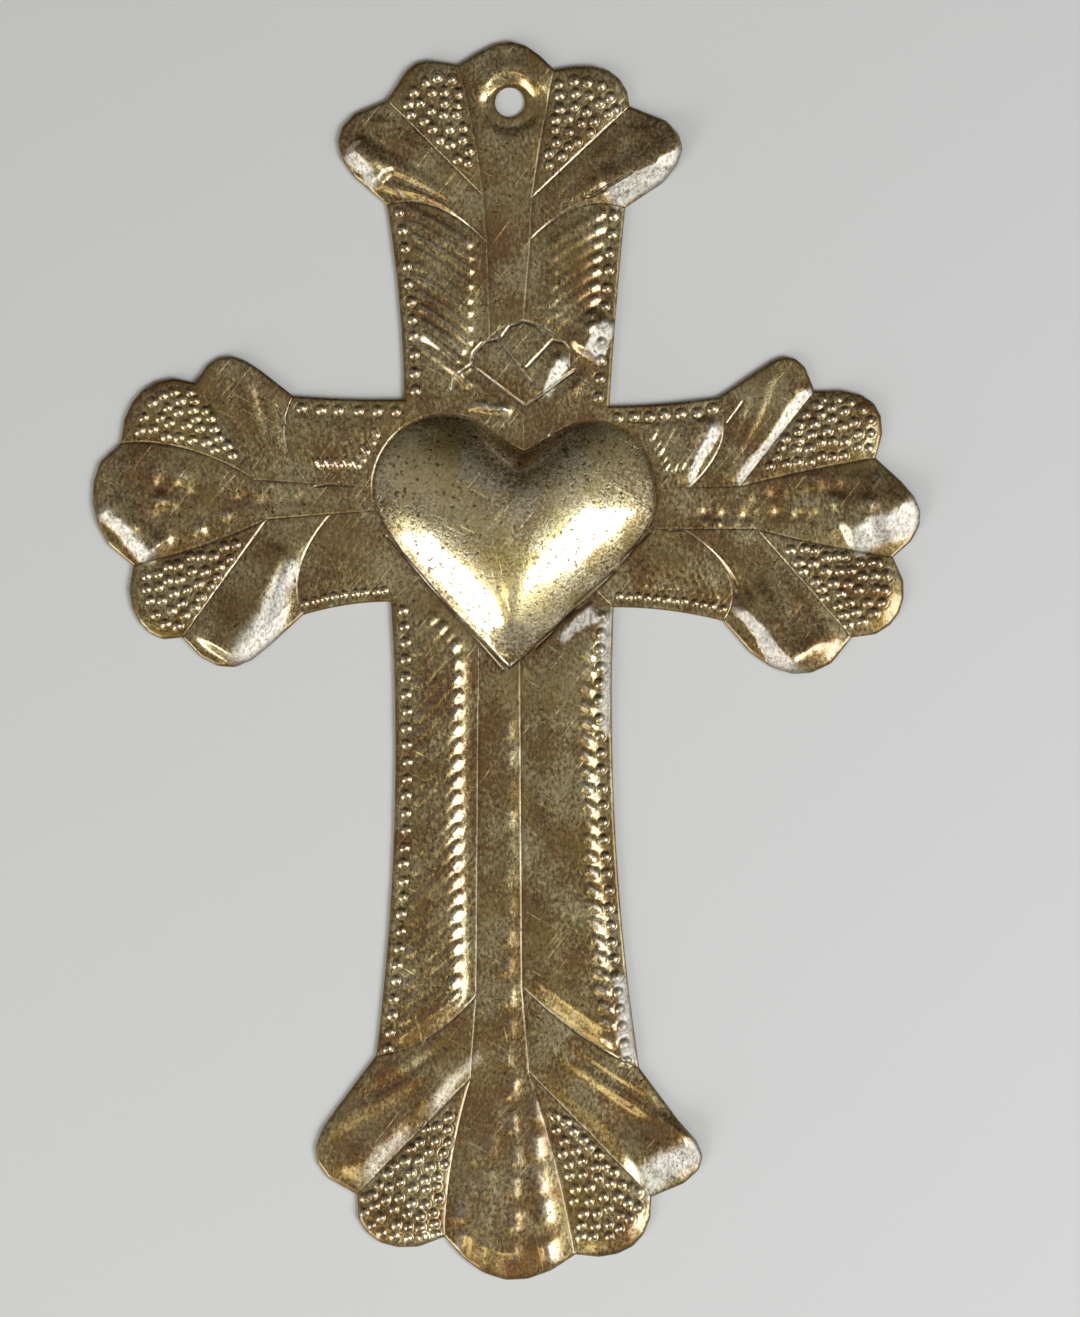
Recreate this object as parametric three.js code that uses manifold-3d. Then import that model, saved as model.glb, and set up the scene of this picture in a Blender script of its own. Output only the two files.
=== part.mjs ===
// Milagro heart cross: one sheet of steel, cut out with a chisel and hammered up from the back.
// The maker's chased lines divide the sheet into regions: a heart, a flame, and on each arm a spine,
// two ribbed panels, two plain leaves and two beaded lobes. Each region is a mesh of its own, and
// regions share the points of the line between them. Units are millimetres. The cross lies on its
// back: +Z is its front, +Y points at the nail hole, and the origin is the middle of its outline.
import * as THREE from "three";
import Module from "manifold-3d";

// Sheet, and how far each kind of region is raised at its crown
const SHEET_THICKNESS = 0.9;
const HEART_RISE = 8.5;
const FLAME_RISE = 0.5;
const SPINE_RISE = 0.3;
const CENTRE_LOBE_RISE = 1.2;
const LEAF_RISE = 1.2;
const BEADED_LOBE_RISE = 0.8;
const PANEL_RISE = 0.9;
// Power of the heart's dome: lower is flatter on top and steeper at the outline
const HEART_FULLNESS = 0.8;
// Width of the flat border along the edge of every panel
const FLAT_BORDER = 3.2;

// Nail hole in the top centre lobe: setback from the line between the lobe's notches, and shift to the right
const NAIL_HOLE_DIAMETER = 5.5;
const NAIL_HOLE_SETBACK = 6.5;
const NAIL_HOLE_SHIFT = 0.6;

// Heart, measured from the crossing of the arms: its dip, its point, and the lobe on each side
const HEART_DIP_HEIGHT = 9.6;
const HEART_DIP_SHIFT = 3.1;
const HEART_POINT_DROP = 30.1;
const HEART_POINT_SHIFT = 0.4;
const HEART_LEFT = { crownOut: 11.7, crownHeight: 16.5, sideOut: 24.8, sideHeight: 2.8, cheekDrop: 9 };
const HEART_RIGHT = { crownOut: 17, crownHeight: 15.4, sideOut: 27.4, sideHeight: 0.4, cheekDrop: 8 };

// Flame over the heart's dip: heights above the dip, and half-widths
const FLAME_FOOT_HEIGHT = 8.5;
const FLAME_SPREAD = 9.5;
const FLAME_SPREAD_HEIGHT = 15.3;
const FLAME_PETAL_HALF_WIDTH = 9.2;
const FLAME_PETAL_HEIGHT = 18.2;
const FLAME_SHOULDER_HALF_WIDTH = 6.2;
const FLAME_SHOULDER_HEIGHT = 21.3;
const FLAME_TIP_HEIGHT = 24.1;

// Inner corners between the arms: direction from the crossing in degrees, and land left beside the heart
const CORNER_TOP_LEFT = { direction: 134.5, land: 4.9 };
const CORNER_TOP_RIGHT = { direction: 43.9, land: 4 };
const CORNER_BOTTOM_LEFT = { direction: 220, land: 7.2 };
const CORNER_BOTTOM_RIGHT = { direction: -44.1, land: 4.5 };

// Half-arms. Lengths run outwards along the arm, one after the other, and half-widths lie across it.
// The edge runs from the inner corner past the waist to the neck, then to the notch beside the leaf and
// on to the notch beside the beaded lobe. Along the spine, the leaf's root comes before the lobe's root.
// The line inside the leaf bows outwards from straight, and the spine bows from root (0) to notch (1) halfway.
// A lobe's edge has a reach over its chord, the place of its crown along it and a fullness: lower is squarer.
const TOP_LEFT = {
  edgeLength: 35.9, waistHalfWidth: 19.2, neckHalfWidth: 22.2,
  leafNotchLength: 19.3, leafNotchHalfWidth: 22.2, lobeNotchLength: 6.6, lobeNotchHalfWidth: 8.9,
  leafRootLength: 17.2, leafRootHalfWidth: 3.7, lobeRootLength: 8.7, lobeRootHalfWidth: 4.4,
  leafLineBow: 3.1, spineBow: 0.3,
  leaf: { reach: 9.1, crown: 0.6, fullness: 0.6 },
  lobe: { reach: 3.8, crown: 0.53, fullness: 1.2 },
};
const TOP_RIGHT = {
  edgeLength: 36.6, waistHalfWidth: 20, neckHalfWidth: 21.8,
  leafNotchLength: 18.7, leafNotchHalfWidth: 22.6, lobeNotchLength: 6.8, lobeNotchHalfWidth: 8.7,
  leafRootLength: 15.1, leafRootHalfWidth: 4.3, lobeRootLength: 7.8, lobeRootHalfWidth: 4.6,
  leafLineBow: 3, spineBow: 0.43,
  leaf: { reach: 10.1, crown: 0.6, fullness: 0.55 },
  lobe: { reach: 4.3, crown: 0.42, fullness: 0.9 },
};
const LEFT_UPPER = {
  spineHalfWidth: 3.1,
  edgeLength: 20.5, waistHalfWidth: 19.2, neckHalfWidth: 20,
  leafNotchLength: 18.1, leafNotchHalfWidth: 22.4, lobeNotchLength: 13.7, lobeNotchHalfWidth: 11.3,
  leafRootLength: 12.2, leafRootHalfWidth: 3.9, lobeRootLength: 9.5, lobeRootHalfWidth: 4.5,
  leafLineBow: 2.6, spineBow: 1.15,
  leaf: { reach: 5.8, crown: 0.66, fullness: 0.65 },
  lobe: { reach: 5.1, crown: 0.46, fullness: 0.75 },
};
const LEFT_LOWER = {
  spineHalfWidth: 1.2,
  edgeLength: 16.3, waistHalfWidth: 18, neckHalfWidth: 20.5,
  leafNotchLength: 22.2, leafNotchHalfWidth: 24.6, lobeNotchLength: 9.1, lobeNotchHalfWidth: 11.3,
  leafRootLength: 8.5, leafRootHalfWidth: 1.8, lobeRootLength: 11.9, lobeRootHalfWidth: 2.8,
  leafLineBow: 2.9, spineBow: 0.68,
  leaf: { reach: 7.2, crown: 0.62, fullness: 0.8 },
  lobe: { reach: 5, crown: 0.42, fullness: 0.65 },
};
const RIGHT_UPPER = {
  spineHalfWidth: 2.8,
  edgeLength: 20.2, waistHalfWidth: 18.2, neckHalfWidth: 19.8,
  leafNotchLength: 17.7, leafNotchHalfWidth: 20.9, lobeNotchLength: 11.3, lobeNotchHalfWidth: 8.5,
  leafRootLength: 6.5, leafRootHalfWidth: 3.1, lobeRootLength: 9.2, lobeRootHalfWidth: 3.3,
  leafLineBow: 3.2, spineBow: 0.62,
  leaf: { reach: 6.7, crown: 0.72, fullness: 0.58 },
  lobe: { reach: 6.6, crown: 0.54, fullness: 0.75 },
};
const RIGHT_LOWER = {
  spineHalfWidth: 4.6,
  edgeLength: 20.3, waistHalfWidth: 19, neckHalfWidth: 21.6,
  leafNotchLength: 23.7, leafNotchHalfWidth: 24.6, lobeNotchLength: 7.6, lobeNotchHalfWidth: 9.8,
  leafRootLength: 6.7, leafRootHalfWidth: 4.6, lobeRootLength: 13.5, lobeRootHalfWidth: 4.6,
  leafLineBow: 4.8, spineBow: 0.65,
  leaf: { reach: 8.1, crown: 0.58, fullness: 0.62 },
  lobe: { reach: 5.7, crown: 0.48, fullness: 0.65 },
};
const BOTTOM_LEFT = {
  spineHalfWidth: 5.2,
  edgeLength: 83.8, waistHalfWidth: 18.9, neckHalfWidth: 24.2,
  leafNotchLength: 25.7, leafNotchHalfWidth: 27.7, lobeNotchLength: 7.8, lobeNotchHalfWidth: 11.5,
  leafRootLength: 66.1, leafRootHalfWidth: 5.7, lobeRootLength: 15.1, lobeRootHalfWidth: 6.7,
  leafLineBow: 2.5, spineBow: 0.92,
  leaf: { reach: 8.8, crown: 0.7, fullness: 0.62 },
  lobe: { reach: 6.1, crown: 0.43, fullness: 0.7 },
};
const BOTTOM_RIGHT = {
  spineHalfWidth: 2.4,
  edgeLength: 85.1, waistHalfWidth: 18, neckHalfWidth: 24.4,
  leafNotchLength: 23.8, leafNotchHalfWidth: 26.6, lobeNotchLength: 10.6, lobeNotchHalfWidth: 12.6,
  leafRootLength: 60.7, leafRootHalfWidth: 2.8, lobeRootLength: 15.8, lobeRootHalfWidth: 4.1,
  leafLineBow: 1.5, spineBow: 0.68,
  leaf: { reach: 10.2, crown: 0.72, fullness: 0.7 },
  lobe: { reach: 5.2, crown: 0.47, fullness: 0.8 },
};
// Centre lobe of each arm
const TOP_CENTRE = { reach: 4.8, crown: 0.53, fullness: 1 };
const LEFT_CENTRE = { reach: 6.3, crown: 0.46, fullness: 0.6 };
const RIGHT_CENTRE = { reach: 6.4, crown: 0.6, fullness: 0.75 };
const BOTTOM_CENTRE = { reach: 6.4, crown: 0.5, fullness: 0.85 };

// How the heart's outline bends: a quarter round, and the straight runs into its dip and its point
const QUARTER_ROUND = 0.55;
const DIP_RUN = 0.45;
const POINT_RUN = 0.35;
// How far the crowns of the lobes lie towards the outer edge: 1 is halfway
const LEAF_LEAN = 1.3;
const LOBE_LEAN = 1.5;

// Straight chisel strokes along each kind of line, and rings across the heart and the flame
const LOBE_STROKES = 6;
const LINE_STROKES = 6;
const SEAM_STROKES = 2;
const BORDER_STROKES = 1;
const SPINE_STROKES = 6;
const HEART_RINGS = 5;
const FLAME_RINGS = 3;
const HEART_CURVE_POINTS = 80;
const HOLE_SIDES = 24;
// Corrections that find where a spine's line meets the heart
const MEETING_STEPS = 8;

const STEEL = { roughness: 0.42, metalness: 0.9 };
const HEART_COLOUR = 0x6d6453;
const FLAME_COLOUR = 0x75684a;
const SPINE_COLOUR = 0x6f6042;
const LEAF_COLOUR = 0x7d6c48;
const LOBE_COLOUR = 0x6a5636;
const PANEL_COLOUR = 0x66563a;

const wasm = await Module();
wasm.setup();

const point = (x, y) => new THREE.Vector2(x, y);
const evenly = (count) => Array.from({ length: count + 1 }, (_, i) => i / count);
const arch = (t) => Math.sin(Math.PI * THREE.MathUtils.clamp(t, 0, 1));

// Points along a straight line, both ends included
function line(from, to, strokes) {
  return evenly(strokes).map((t) => from.clone().lerp(to, t));
}

// Points along a line bent towards a third point, at the given fractions
function bent(from, towards, to, fractions) {
  const curve = new THREE.QuadraticBezierCurve(from, towards, to);
  return fractions.map((t) => curve.getPoint(t));
}

// Lists of points end to end, where each list starts on the last point of the one before
function chained(...lists) {
  return lists.flatMap((list, i) => (i === 0 ? list : list.slice(1)));
}

// Edge of a lobe from one notch to the next: an arch over the chord, leaning to its crown, on the outer side
function lobeEdge(from, to, shape, outwards) {
  const chord = to.clone().sub(from);
  const normal = point(-chord.y, chord.x).normalize();
  if (normal.dot(outwards) < 0) {
    normal.negate();
  }
  const lean = Math.log(0.5) / Math.log(shape.crown);
  return evenly(LOBE_STROKES).map((t) => {
    const height = shape.reach * arch(t) ** shape.fullness;
    return from.clone().addScaledVector(chord, t ** (1 / lean)).addScaledVector(normal, height);
  });
}

const dip = point(HEART_DIP_SHIFT, HEART_DIP_HEIGHT);
const heartPoint = point(HEART_POINT_SHIFT, -HEART_POINT_DROP);

// One side of the heart, from the dip over the crown and the side to the point
function heartSide(sign, lobe) {
  const crown = point(sign * lobe.crownOut, lobe.crownHeight);
  const side = point(sign * lobe.sideOut, lobe.sideHeight);
  const run = dip.clone().lerp(crown, DIP_RUN);
  const overCrown = point((dip.x + crown.x) / 2, crown.y);
  const crownHandle = point(THREE.MathUtils.lerp(crown.x, side.x, QUARTER_ROUND), crown.y);
  const sideHandle = point(side.x, THREE.MathUtils.lerp(side.y, crown.y, QUARTER_ROUND));
  const cheek = point(side.x, side.y - lobe.cheekDrop);
  const pointHandle = heartPoint.clone().lerp(cheek, POINT_RUN);
  const path = new THREE.CurvePath();
  path.add(new THREE.CubicBezierCurve(dip, run, overCrown, crown));
  path.add(new THREE.CubicBezierCurve(crown, crownHandle, sideHandle, side));
  path.add(new THREE.CubicBezierCurve(side, cheek, pointHandle, heartPoint));
  return path.getSpacedPoints(HEART_CURVE_POINTS);
}

const turn = (angle) => THREE.MathUtils.euclideanModulo(angle, 2 * Math.PI);
const heartOutline = [...heartSide(-1, HEART_LEFT), ...heartSide(1, HEART_RIGHT)]
  .map((p) => ({ angle: turn(p.angle()), radius: p.length() }))
  .sort((a, b) => a.angle - b.angle);

// Distance from the crossing to the heart's outline in one direction
function heartRadius(angle) {
  const wanted = turn(angle);
  const after = heartOutline.findIndex((p) => p.angle >= wanted);
  const next = heartOutline[Math.max(after, 0)];
  const last = heartOutline.at(after <= 0 ? -1 : after - 1);
  const span = turn(next.angle - last.angle);
  const share = span > 0 ? turn(wanted - last.angle) / span : 0;
  return THREE.MathUtils.lerp(last.radius, next.radius, share);
}

function onHeart(angle, land = 0) {
  return point(heartRadius(angle) + land, 0).rotateAround(point(0, 0), angle);
}

// Direction in which a spine's side line meets the heart, at its half-width off the arm's axis
function spineMeets(axisAngle, side, halfWidth) {
  let off = 0;
  for (let step = 0; step < MEETING_STEPS; step += 1) {
    off = Math.asin(halfWidth / heartRadius(axisAngle + side * off));
  }
  return axisAngle + side * off;
}

// Angles that a stretch of the heart's outline is divided at
const heartAngles = new Set();
function heartStretch(from, to, strokes) {
  const angles = evenly(strokes).map((t) => THREE.MathUtils.lerp(from, to, t));
  angles.forEach((angle) => heartAngles.add(turn(angle).toFixed(9)));
  return angles.map((angle) => onHeart(angle));
}

// Closed solid of sheet over a grid of plan points: front raised by the relief, back one sheet lower
function sheetSolid(rows, us, vs, relief) {
  const corners = [];
  const numbered = new Map();
  const number = (p, u, v) => {
    const key = `${p.x.toFixed(5)},${p.y.toFixed(5)}`;
    if (!numbered.has(key)) {
      numbered.set(key, corners.length);
      corners.push(new THREE.Vector3(p.x, p.y, relief(u, v)));
    }
    return numbered.get(key);
  };
  const grid = rows.map((row, i) => row.map((p, j) => number(p, us[i], vs[j])));
  const front = [];
  const addFront = (a, b, c) => {
    if (a !== b && b !== c && c !== a) {
      front.push([a, b, c]);
    }
  };
  for (let i = 0; i + 1 < grid.length; i += 1) {
    for (let j = 0; j + 1 < grid[i].length; j += 1) {
      addFront(grid[i][j], grid[i + 1][j], grid[i + 1][j + 1]);
      addFront(grid[i][j], grid[i + 1][j + 1], grid[i][j + 1]);
    }
  }
  const area = front.reduce((sum, [a, b, c]) => {
    const ab = corners[b].clone().sub(corners[a]);
    const ac = corners[c].clone().sub(corners[a]);
    return sum + ab.x * ac.y - ab.y * ac.x;
  }, 0);
  if (area < 0) {
    front.forEach((triangle) => triangle.reverse());
  }
  const edges = new Set(front.flatMap(([a, b, c]) => [`${a} ${b}`, `${b} ${c}`, `${c} ${a}`]));
  const below = corners.length;
  const triangles = front.flatMap(([a, b, c]) => [[a, b, c], [below + c, below + b, below + a]]);
  edges.forEach((edge) => {
    const [a, b] = edge.split(" ").map(Number);
    if (!edges.has(`${b} ${a}`)) {
      triangles.push([b, a, below + a], [b, below + a, below + b]);
    }
  });
  const positions = [SHEET_THICKNESS, 0].flatMap((lift) => corners.flatMap((p) => [p.x, p.y, p.z + lift]));
  return solidOf(positions, triangles.flat());
}

function solidOf(positions, triangles) {
  const geometry = new THREE.BufferGeometry();
  geometry.setAttribute("position", new THREE.Float32BufferAttribute(positions, 3));
  geometry.setIndex(Array.from(triangles));
  geometry.computeVertexNormals();
  return geometry;
}

// Grid between four edges: west and east run outwards, south and north run across
function gridBetween(west, east, south, north, us, vs) {
  const blend = (i, j) => {
    const u = us[i];
    const v = vs[j];
    const p = point(0, 0);
    p.addScaledVector(west[i], 1 - v).addScaledVector(east[i], v);
    p.addScaledVector(south[j], 1 - u).addScaledVector(north[j], u);
    p.addScaledVector(west[0], -(1 - u) * (1 - v)).addScaledVector(east[0], -(1 - u) * v);
    return p.addScaledVector(west.at(-1), -u * (1 - v)).addScaledVector(east.at(-1), -u * v);
  };
  return us.map((_, i) => vs.map((__, j) => blend(i, j)));
}

// Grid of rings from a middle point out to a closed outline
function ringsWithin(outline, middle, rings) {
  const closed = [...outline, outline[0]];
  return evenly(rings).map((t) => closed.map((p) => middle.clone().lerp(p, t)));
}

const group = new THREE.Group();
function addRegion(name, geometry, colour) {
  const mesh = new THREE.Mesh(geometry, new THREE.MeshStandardMaterial({ color: colour, ...STEEL }));
  mesh.name = name;
  group.add(mesh);
}

function toManifold(geometry) {
  const vertProperties = new Float32Array(geometry.attributes.position.array);
  const triVerts = new Uint32Array(geometry.index.array);
  return new wasm.Manifold(new wasm.Mesh({ numProp: 3, vertProperties, triVerts }));
}

// Region with a round hole punched through it, by a punch that reaches past the whole relief on both sides
function punched(geometry, centre) {
  const radius = NAIL_HOLE_DIAMETER / 2;
  const depth = 2 * (SHEET_THICKNESS + HEART_RISE);
  const punch = new THREE.CylinderGeometry(radius, radius, depth, HOLE_SIDES);
  punch.rotateX(Math.PI / 2).translate(centre.x, centre.y, 0);
  const welded = weld(punch);
  const mesh = toManifold(geometry).subtract(toManifold(welded)).getMesh();
  return solidOf(mesh.vertProperties, mesh.triVerts);
}

// Copy of a geometry with the vertices that share a place joined into one
function weld(geometry) {
  const places = [];
  const numbered = new Map();
  const from = geometry.attributes.position;
  const index = Array.from(geometry.index.array, (i) => {
    const place = [from.getX(i), from.getY(i), from.getZ(i)];
    const key = place.map((value) => value.toFixed(5)).join();
    if (!numbered.has(key)) {
      numbered.set(key, numbered.size);
      places.push(...place);
    }
    return numbered.get(key);
  });
  return solidOf(places, index);
}

// Flame: foot, spread, petal and shoulder on each side, and the tip
const flameAt = (side, height) => point(dip.x + side, dip.y + height);
const flameFoot = flameAt(0, FLAME_FOOT_HEIGHT);
const flameTip = flameAt(0, FLAME_TIP_HEIGHT);
function flameSide(sign) {
  const spread = flameAt(sign * FLAME_SPREAD, FLAME_SPREAD_HEIGHT);
  const petal = flameAt(sign * FLAME_PETAL_HALF_WIDTH, FLAME_PETAL_HEIGHT);
  const shoulder = flameAt(sign * FLAME_SHOULDER_HALF_WIDTH, FLAME_SHOULDER_HEIGHT);
  const overTip = flameAt(sign * FLAME_SHOULDER_HALF_WIDTH / 2, FLAME_TIP_HEIGHT);
  return {
    lower: chained(line(flameFoot, spread, LINE_STROKES / 2), [spread, petal, shoulder]),
    upper: bent(shoulder, overTip, flameTip, evenly(LOBE_STROKES)),
  };
}
const flameLeft = flameSide(-1);
const flameRight = flameSide(1);
const flameStem = line(dip, flameFoot, SEAM_STROKES);

const degrees = THREE.MathUtils.degToRad;
const ARMS = {
  top: { angle: degrees(90), centre: TOP_CENTRE },
  left: { angle: degrees(180), centre: LEFT_CENTRE },
  right: { angle: degrees(0), centre: RIGHT_CENTRE },
  bottom: { angle: degrees(-90), centre: BOTTOM_CENTRE },
};
// Side is +1 where the half-arm lies anticlockwise of its arm's axis, and -1 where it lies clockwise
const HALF_ARMS = [
  { arm: "top", name: "top_left", side: 1, sizes: TOP_LEFT, corner: CORNER_TOP_LEFT },
  { arm: "top", name: "top_right", side: -1, sizes: TOP_RIGHT, corner: CORNER_TOP_RIGHT },
  { arm: "left", name: "left_upper", side: -1, sizes: LEFT_UPPER, corner: CORNER_TOP_LEFT },
  { arm: "left", name: "left_lower", side: 1, sizes: LEFT_LOWER, corner: CORNER_BOTTOM_LEFT },
  { arm: "right", name: "right_upper", side: 1, sizes: RIGHT_UPPER, corner: CORNER_TOP_RIGHT },
  { arm: "right", name: "right_lower", side: -1, sizes: RIGHT_LOWER, corner: CORNER_BOTTOM_RIGHT },
  { arm: "bottom", name: "bottom_left", side: -1, sizes: BOTTOM_LEFT, corner: CORNER_BOTTOM_LEFT },
  { arm: "bottom", name: "bottom_right", side: 1, sizes: BOTTOM_RIGHT, corner: CORNER_BOTTOM_RIGHT },
];

// Lines of one half-arm: its edges, its spine line in three stretches, and the two lines between its regions
function halfArmLines({ arm, name, side, sizes, corner }) {
  const axis = ARMS[arm].angle;
  const outAxis = point(1, 0).rotateAround(point(0, 0), axis);
  const sideAxis = point(0, side).rotateAround(point(0, 0), axis);
  const at = (out, across) => outAxis.clone().multiplyScalar(out).addScaledVector(sideAxis, across);
  const direction = degrees(corner.direction);
  const innerCorner = onHeart(direction, corner.land);
  const seam = line(innerCorner, onHeart(direction), SEAM_STROKES);

  const leads = {
    top_left: chained(flameStem, flameLeft.lower),
    top_right: chained(flameStem, flameRight.lower, flameRight.upper),
  };
  const meets = name in leads ? dip.angle() : spineMeets(axis, side, sizes.spineHalfWidth);
  const nearest = axis + Math.atan2(Math.sin(meets - axis), Math.cos(meets - axis));
  const cornerTurn = axis + Math.atan2(Math.sin(direction - axis), Math.cos(direction - axis));
  const stretch = heartStretch(cornerTurn, nearest, LINE_STROKES - SEAM_STROKES);
  const lead = leads[name] ?? [stretch.at(-1)];
  const start = lead.at(-1);

  const startOut = start.dot(outAxis);
  const leafRootOut = startOut + sizes.leafRootLength;
  const lobeRootOut = leafRootOut + sizes.lobeRootLength;
  const neckOut = innerCorner.dot(outAxis) + sizes.edgeLength;
  const leafNotchOut = neckOut + sizes.leafNotchLength;
  const lobeNotchOut = leafNotchOut + sizes.lobeNotchLength;
  const leafRoot = at(leafRootOut, sizes.leafRootHalfWidth);
  const lobeRoot = at(lobeRootOut, sizes.lobeRootHalfWidth);
  const neck = at(neckOut, sizes.neckHalfWidth);
  const leafNotch = at(leafNotchOut, sizes.leafNotchHalfWidth);
  const lobeNotch = at(lobeNotchOut, sizes.lobeNotchHalfWidth);

  const border = FLAT_BORDER / (sizes.neckHalfWidth - sizes.leafRootHalfWidth);
  const across = [0, ...evenly(LINE_STROKES - BORDER_STROKES).map((t) => THREE.MathUtils.lerp(border, 1, t))];
  const bowed = neck.clone().lerp(leafRoot, 0.5).addScaledVector(outAxis, 2 * sizes.leafLineBow);
  const waist = at((innerCorner.dot(outAxis) + neckOut) / 2, sizes.waistHalfWidth);
  const flare = THREE.MathUtils.lerp(sizes.lobeRootHalfWidth, sizes.lobeNotchHalfWidth, sizes.spineBow);
  const spineInner = line(start, leafRoot, SPINE_STROKES);
  const rows = lead.length - 1 + SPINE_STROKES;
  return {
    across,
    border,
    start,
    heartAngle: nearest,
    southEdge: chained(seam, stretch),
    panelEdge: bent(innerCorner, waist, neck, evenly(rows)),
    panelSpine: chained(lead, spineInner),
    spineInner,
    spineMiddle: line(leafRoot, lobeRoot, LOBE_STROKES),
    spineOuter: bent(lobeRoot, at((lobeRootOut + lobeNotchOut) / 2, flare), lobeNotch, evenly(LINE_STROKES)),
    leafLine: bent(neck, bowed, leafRoot, across),
    lobeLine: line(lobeRoot, leafNotch, LINE_STROKES),
    leafEdge: lobeEdge(neck, leafNotch, sizes.leaf, sideAxis),
    lobeEdge: lobeEdge(leafNotch, lobeNotch, sizes.lobe, outAxis),
    outAxis,
    sideAxis,
  };
}

// Ribbed panel: a flat border along its edge, then a low crown up to the spine
function panelSolid(lines) {
  const us = evenly(lines.panelEdge.length - 1);
  const grid = gridBetween(lines.panelEdge, lines.panelSpine, lines.southEdge, lines.leafLine, us, lines.across);
  const crown = (u, v) => PANEL_RISE * Math.sqrt(arch(u)) * arch((v - lines.border) / (1 - lines.border));
  return sheetSolid(grid, us, lines.across, crown);
}

// Plain leaf: a pillow, highest towards its outer edge
function leafSolid(lines) {
  const us = lines.across.map((t) => 1 - t).reverse();
  const vs = evenly(LOBE_STROKES);
  const leafLine = [...lines.leafLine].reverse();
  const grid = gridBetween(leafLine, lines.lobeLine, lines.spineMiddle, lines.leafEdge, us, vs);
  return sheetSolid(grid, us, vs, (u, v) => LEAF_RISE * arch(u ** LEAF_LEAN) * arch(v));
}

// Beaded lobe: a wedge that starts in a point on the spine
function beadedLobeSolid(lines) {
  const us = evenly(LINE_STROKES);
  const vs = evenly(LOBE_STROKES);
  const root = vs.map(() => lines.lobeLine[0]);
  const grid = gridBetween(lines.lobeLine, lines.spineOuter, root, lines.lobeEdge, us, vs);
  return sheetSolid(grid, us, vs, (u, v) => BEADED_LOBE_RISE * arch(u ** LOBE_LEAN) * arch(v));
}

// Spine with its centre lobe: a low crown that swells in the lobe
function spineSolid(first, second, south, centreEdge) {
  const west = chained(first.spineInner, first.spineMiddle, first.spineOuter);
  const east = chained(second.spineInner, second.spineMiddle, second.spineOuter);
  const us = evenly(west.length - 1);
  const vs = evenly(LOBE_STROKES);
  const lobeFrom = (SPINE_STROKES + LOBE_STROKES) / (west.length - 1);
  const swell = (u) => arch(THREE.MathUtils.clamp((u - lobeFrom) / (1 - lobeFrom), 0, 1));
  const low = (u) => Math.sqrt(arch(u));
  const crown = (u, v) => (SPINE_RISE * low(u) + (CENTRE_LOBE_RISE - SPINE_RISE) * swell(u)) * arch(v);
  return sheetSolid(gridBetween(west, east, south, centreEdge, us, vs), us, vs, crown);
}

const lines = Object.fromEntries(HALF_ARMS.map((half) => [half.name, halfArmLines(half)]));
HALF_ARMS.forEach(({ name }) => {
  addRegion(`${name}_panel`, panelSolid(lines[name]), PANEL_COLOUR);
  addRegion(`${name}_leaf`, leafSolid(lines[name]), LEAF_COLOUR);
  addRegion(`${name}_beaded_lobe`, beadedLobeSolid(lines[name]), LOBE_COLOUR);
});
Object.entries(ARMS).forEach(([arm, { centre }]) => {
  const [first, second] = HALF_ARMS.filter((half) => half.arm === arm).map((half) => lines[half.name]);
  const south = arm === "top" ? flameLeft.upper : heartStretch(first.heartAngle, second.heartAngle, LOBE_STROKES);
  const firstNotch = first.lobeEdge.at(-1);
  const secondNotch = second.lobeEdge.at(-1);
  const edge = lobeEdge(firstNotch, secondNotch, centre, first.outAxis);
  let geometry = spineSolid(first, second, south, edge);
  if (arm === "top") {
    const hole = firstNotch.clone().lerp(secondNotch, 0.5);
    hole.addScaledVector(first.outAxis, -NAIL_HOLE_SETBACK).addScaledVector(second.sideAxis, NAIL_HOLE_SHIFT);
    geometry = punched(geometry, hole);
  }
  addRegion(`${arm}_spine`, geometry, SPINE_COLOUR);
});

// Heart: a dome, steepest at its outline
const heartRing = [...heartAngles].map(Number).sort((a, b) => a - b).map((angle) => onHeart(angle));
const heartGrid = ringsWithin(heartRing, point(0, 0), HEART_RINGS);
const heartSpan = evenly(heartRing.length);
const dome = (t) => HEART_RISE * (1 - t ** 2) ** HEART_FULLNESS;
addRegion("heart", sheetSolid(heartGrid, evenly(HEART_RINGS), heartSpan, dome), HEART_COLOUR);

// Flame: a low pillow inside its outline
const flameRing = chained(flameLeft.lower, flameLeft.upper, [...flameRight.upper].reverse(),
  [...flameRight.lower].reverse()).slice(0, -1);
const flameMiddle = flameFoot.clone().lerp(flameTip, 0.5);
const flameGrid = ringsWithin(flameRing, flameMiddle, FLAME_RINGS);
const pillow = (t) => FLAME_RISE * (1 - t ** 2);
addRegion("flame", sheetSolid(flameGrid, evenly(FLAME_RINGS), evenly(flameRing.length), pillow), FLAME_COLOUR);

// The origin lies under the middle of the outline
const middle = new THREE.Box3().setFromObject(group).getCenter(new THREE.Vector3());
group.position.set(-middle.x, -middle.y, 0);

export default group;
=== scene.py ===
"""Looks of the milagro heart cross: one sheet of lacquered steel, chased and hammered by hand.

Sizes are millimetres measured from the crossing of the arms, with +Y towards the nail hole. Every region of
the sheet is a grid over the plan: its shape is a swell of its own, and the marks that the maker's tools left
on top.
"""
import logging
import math
from dataclasses import dataclass
from enum import Enum

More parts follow.
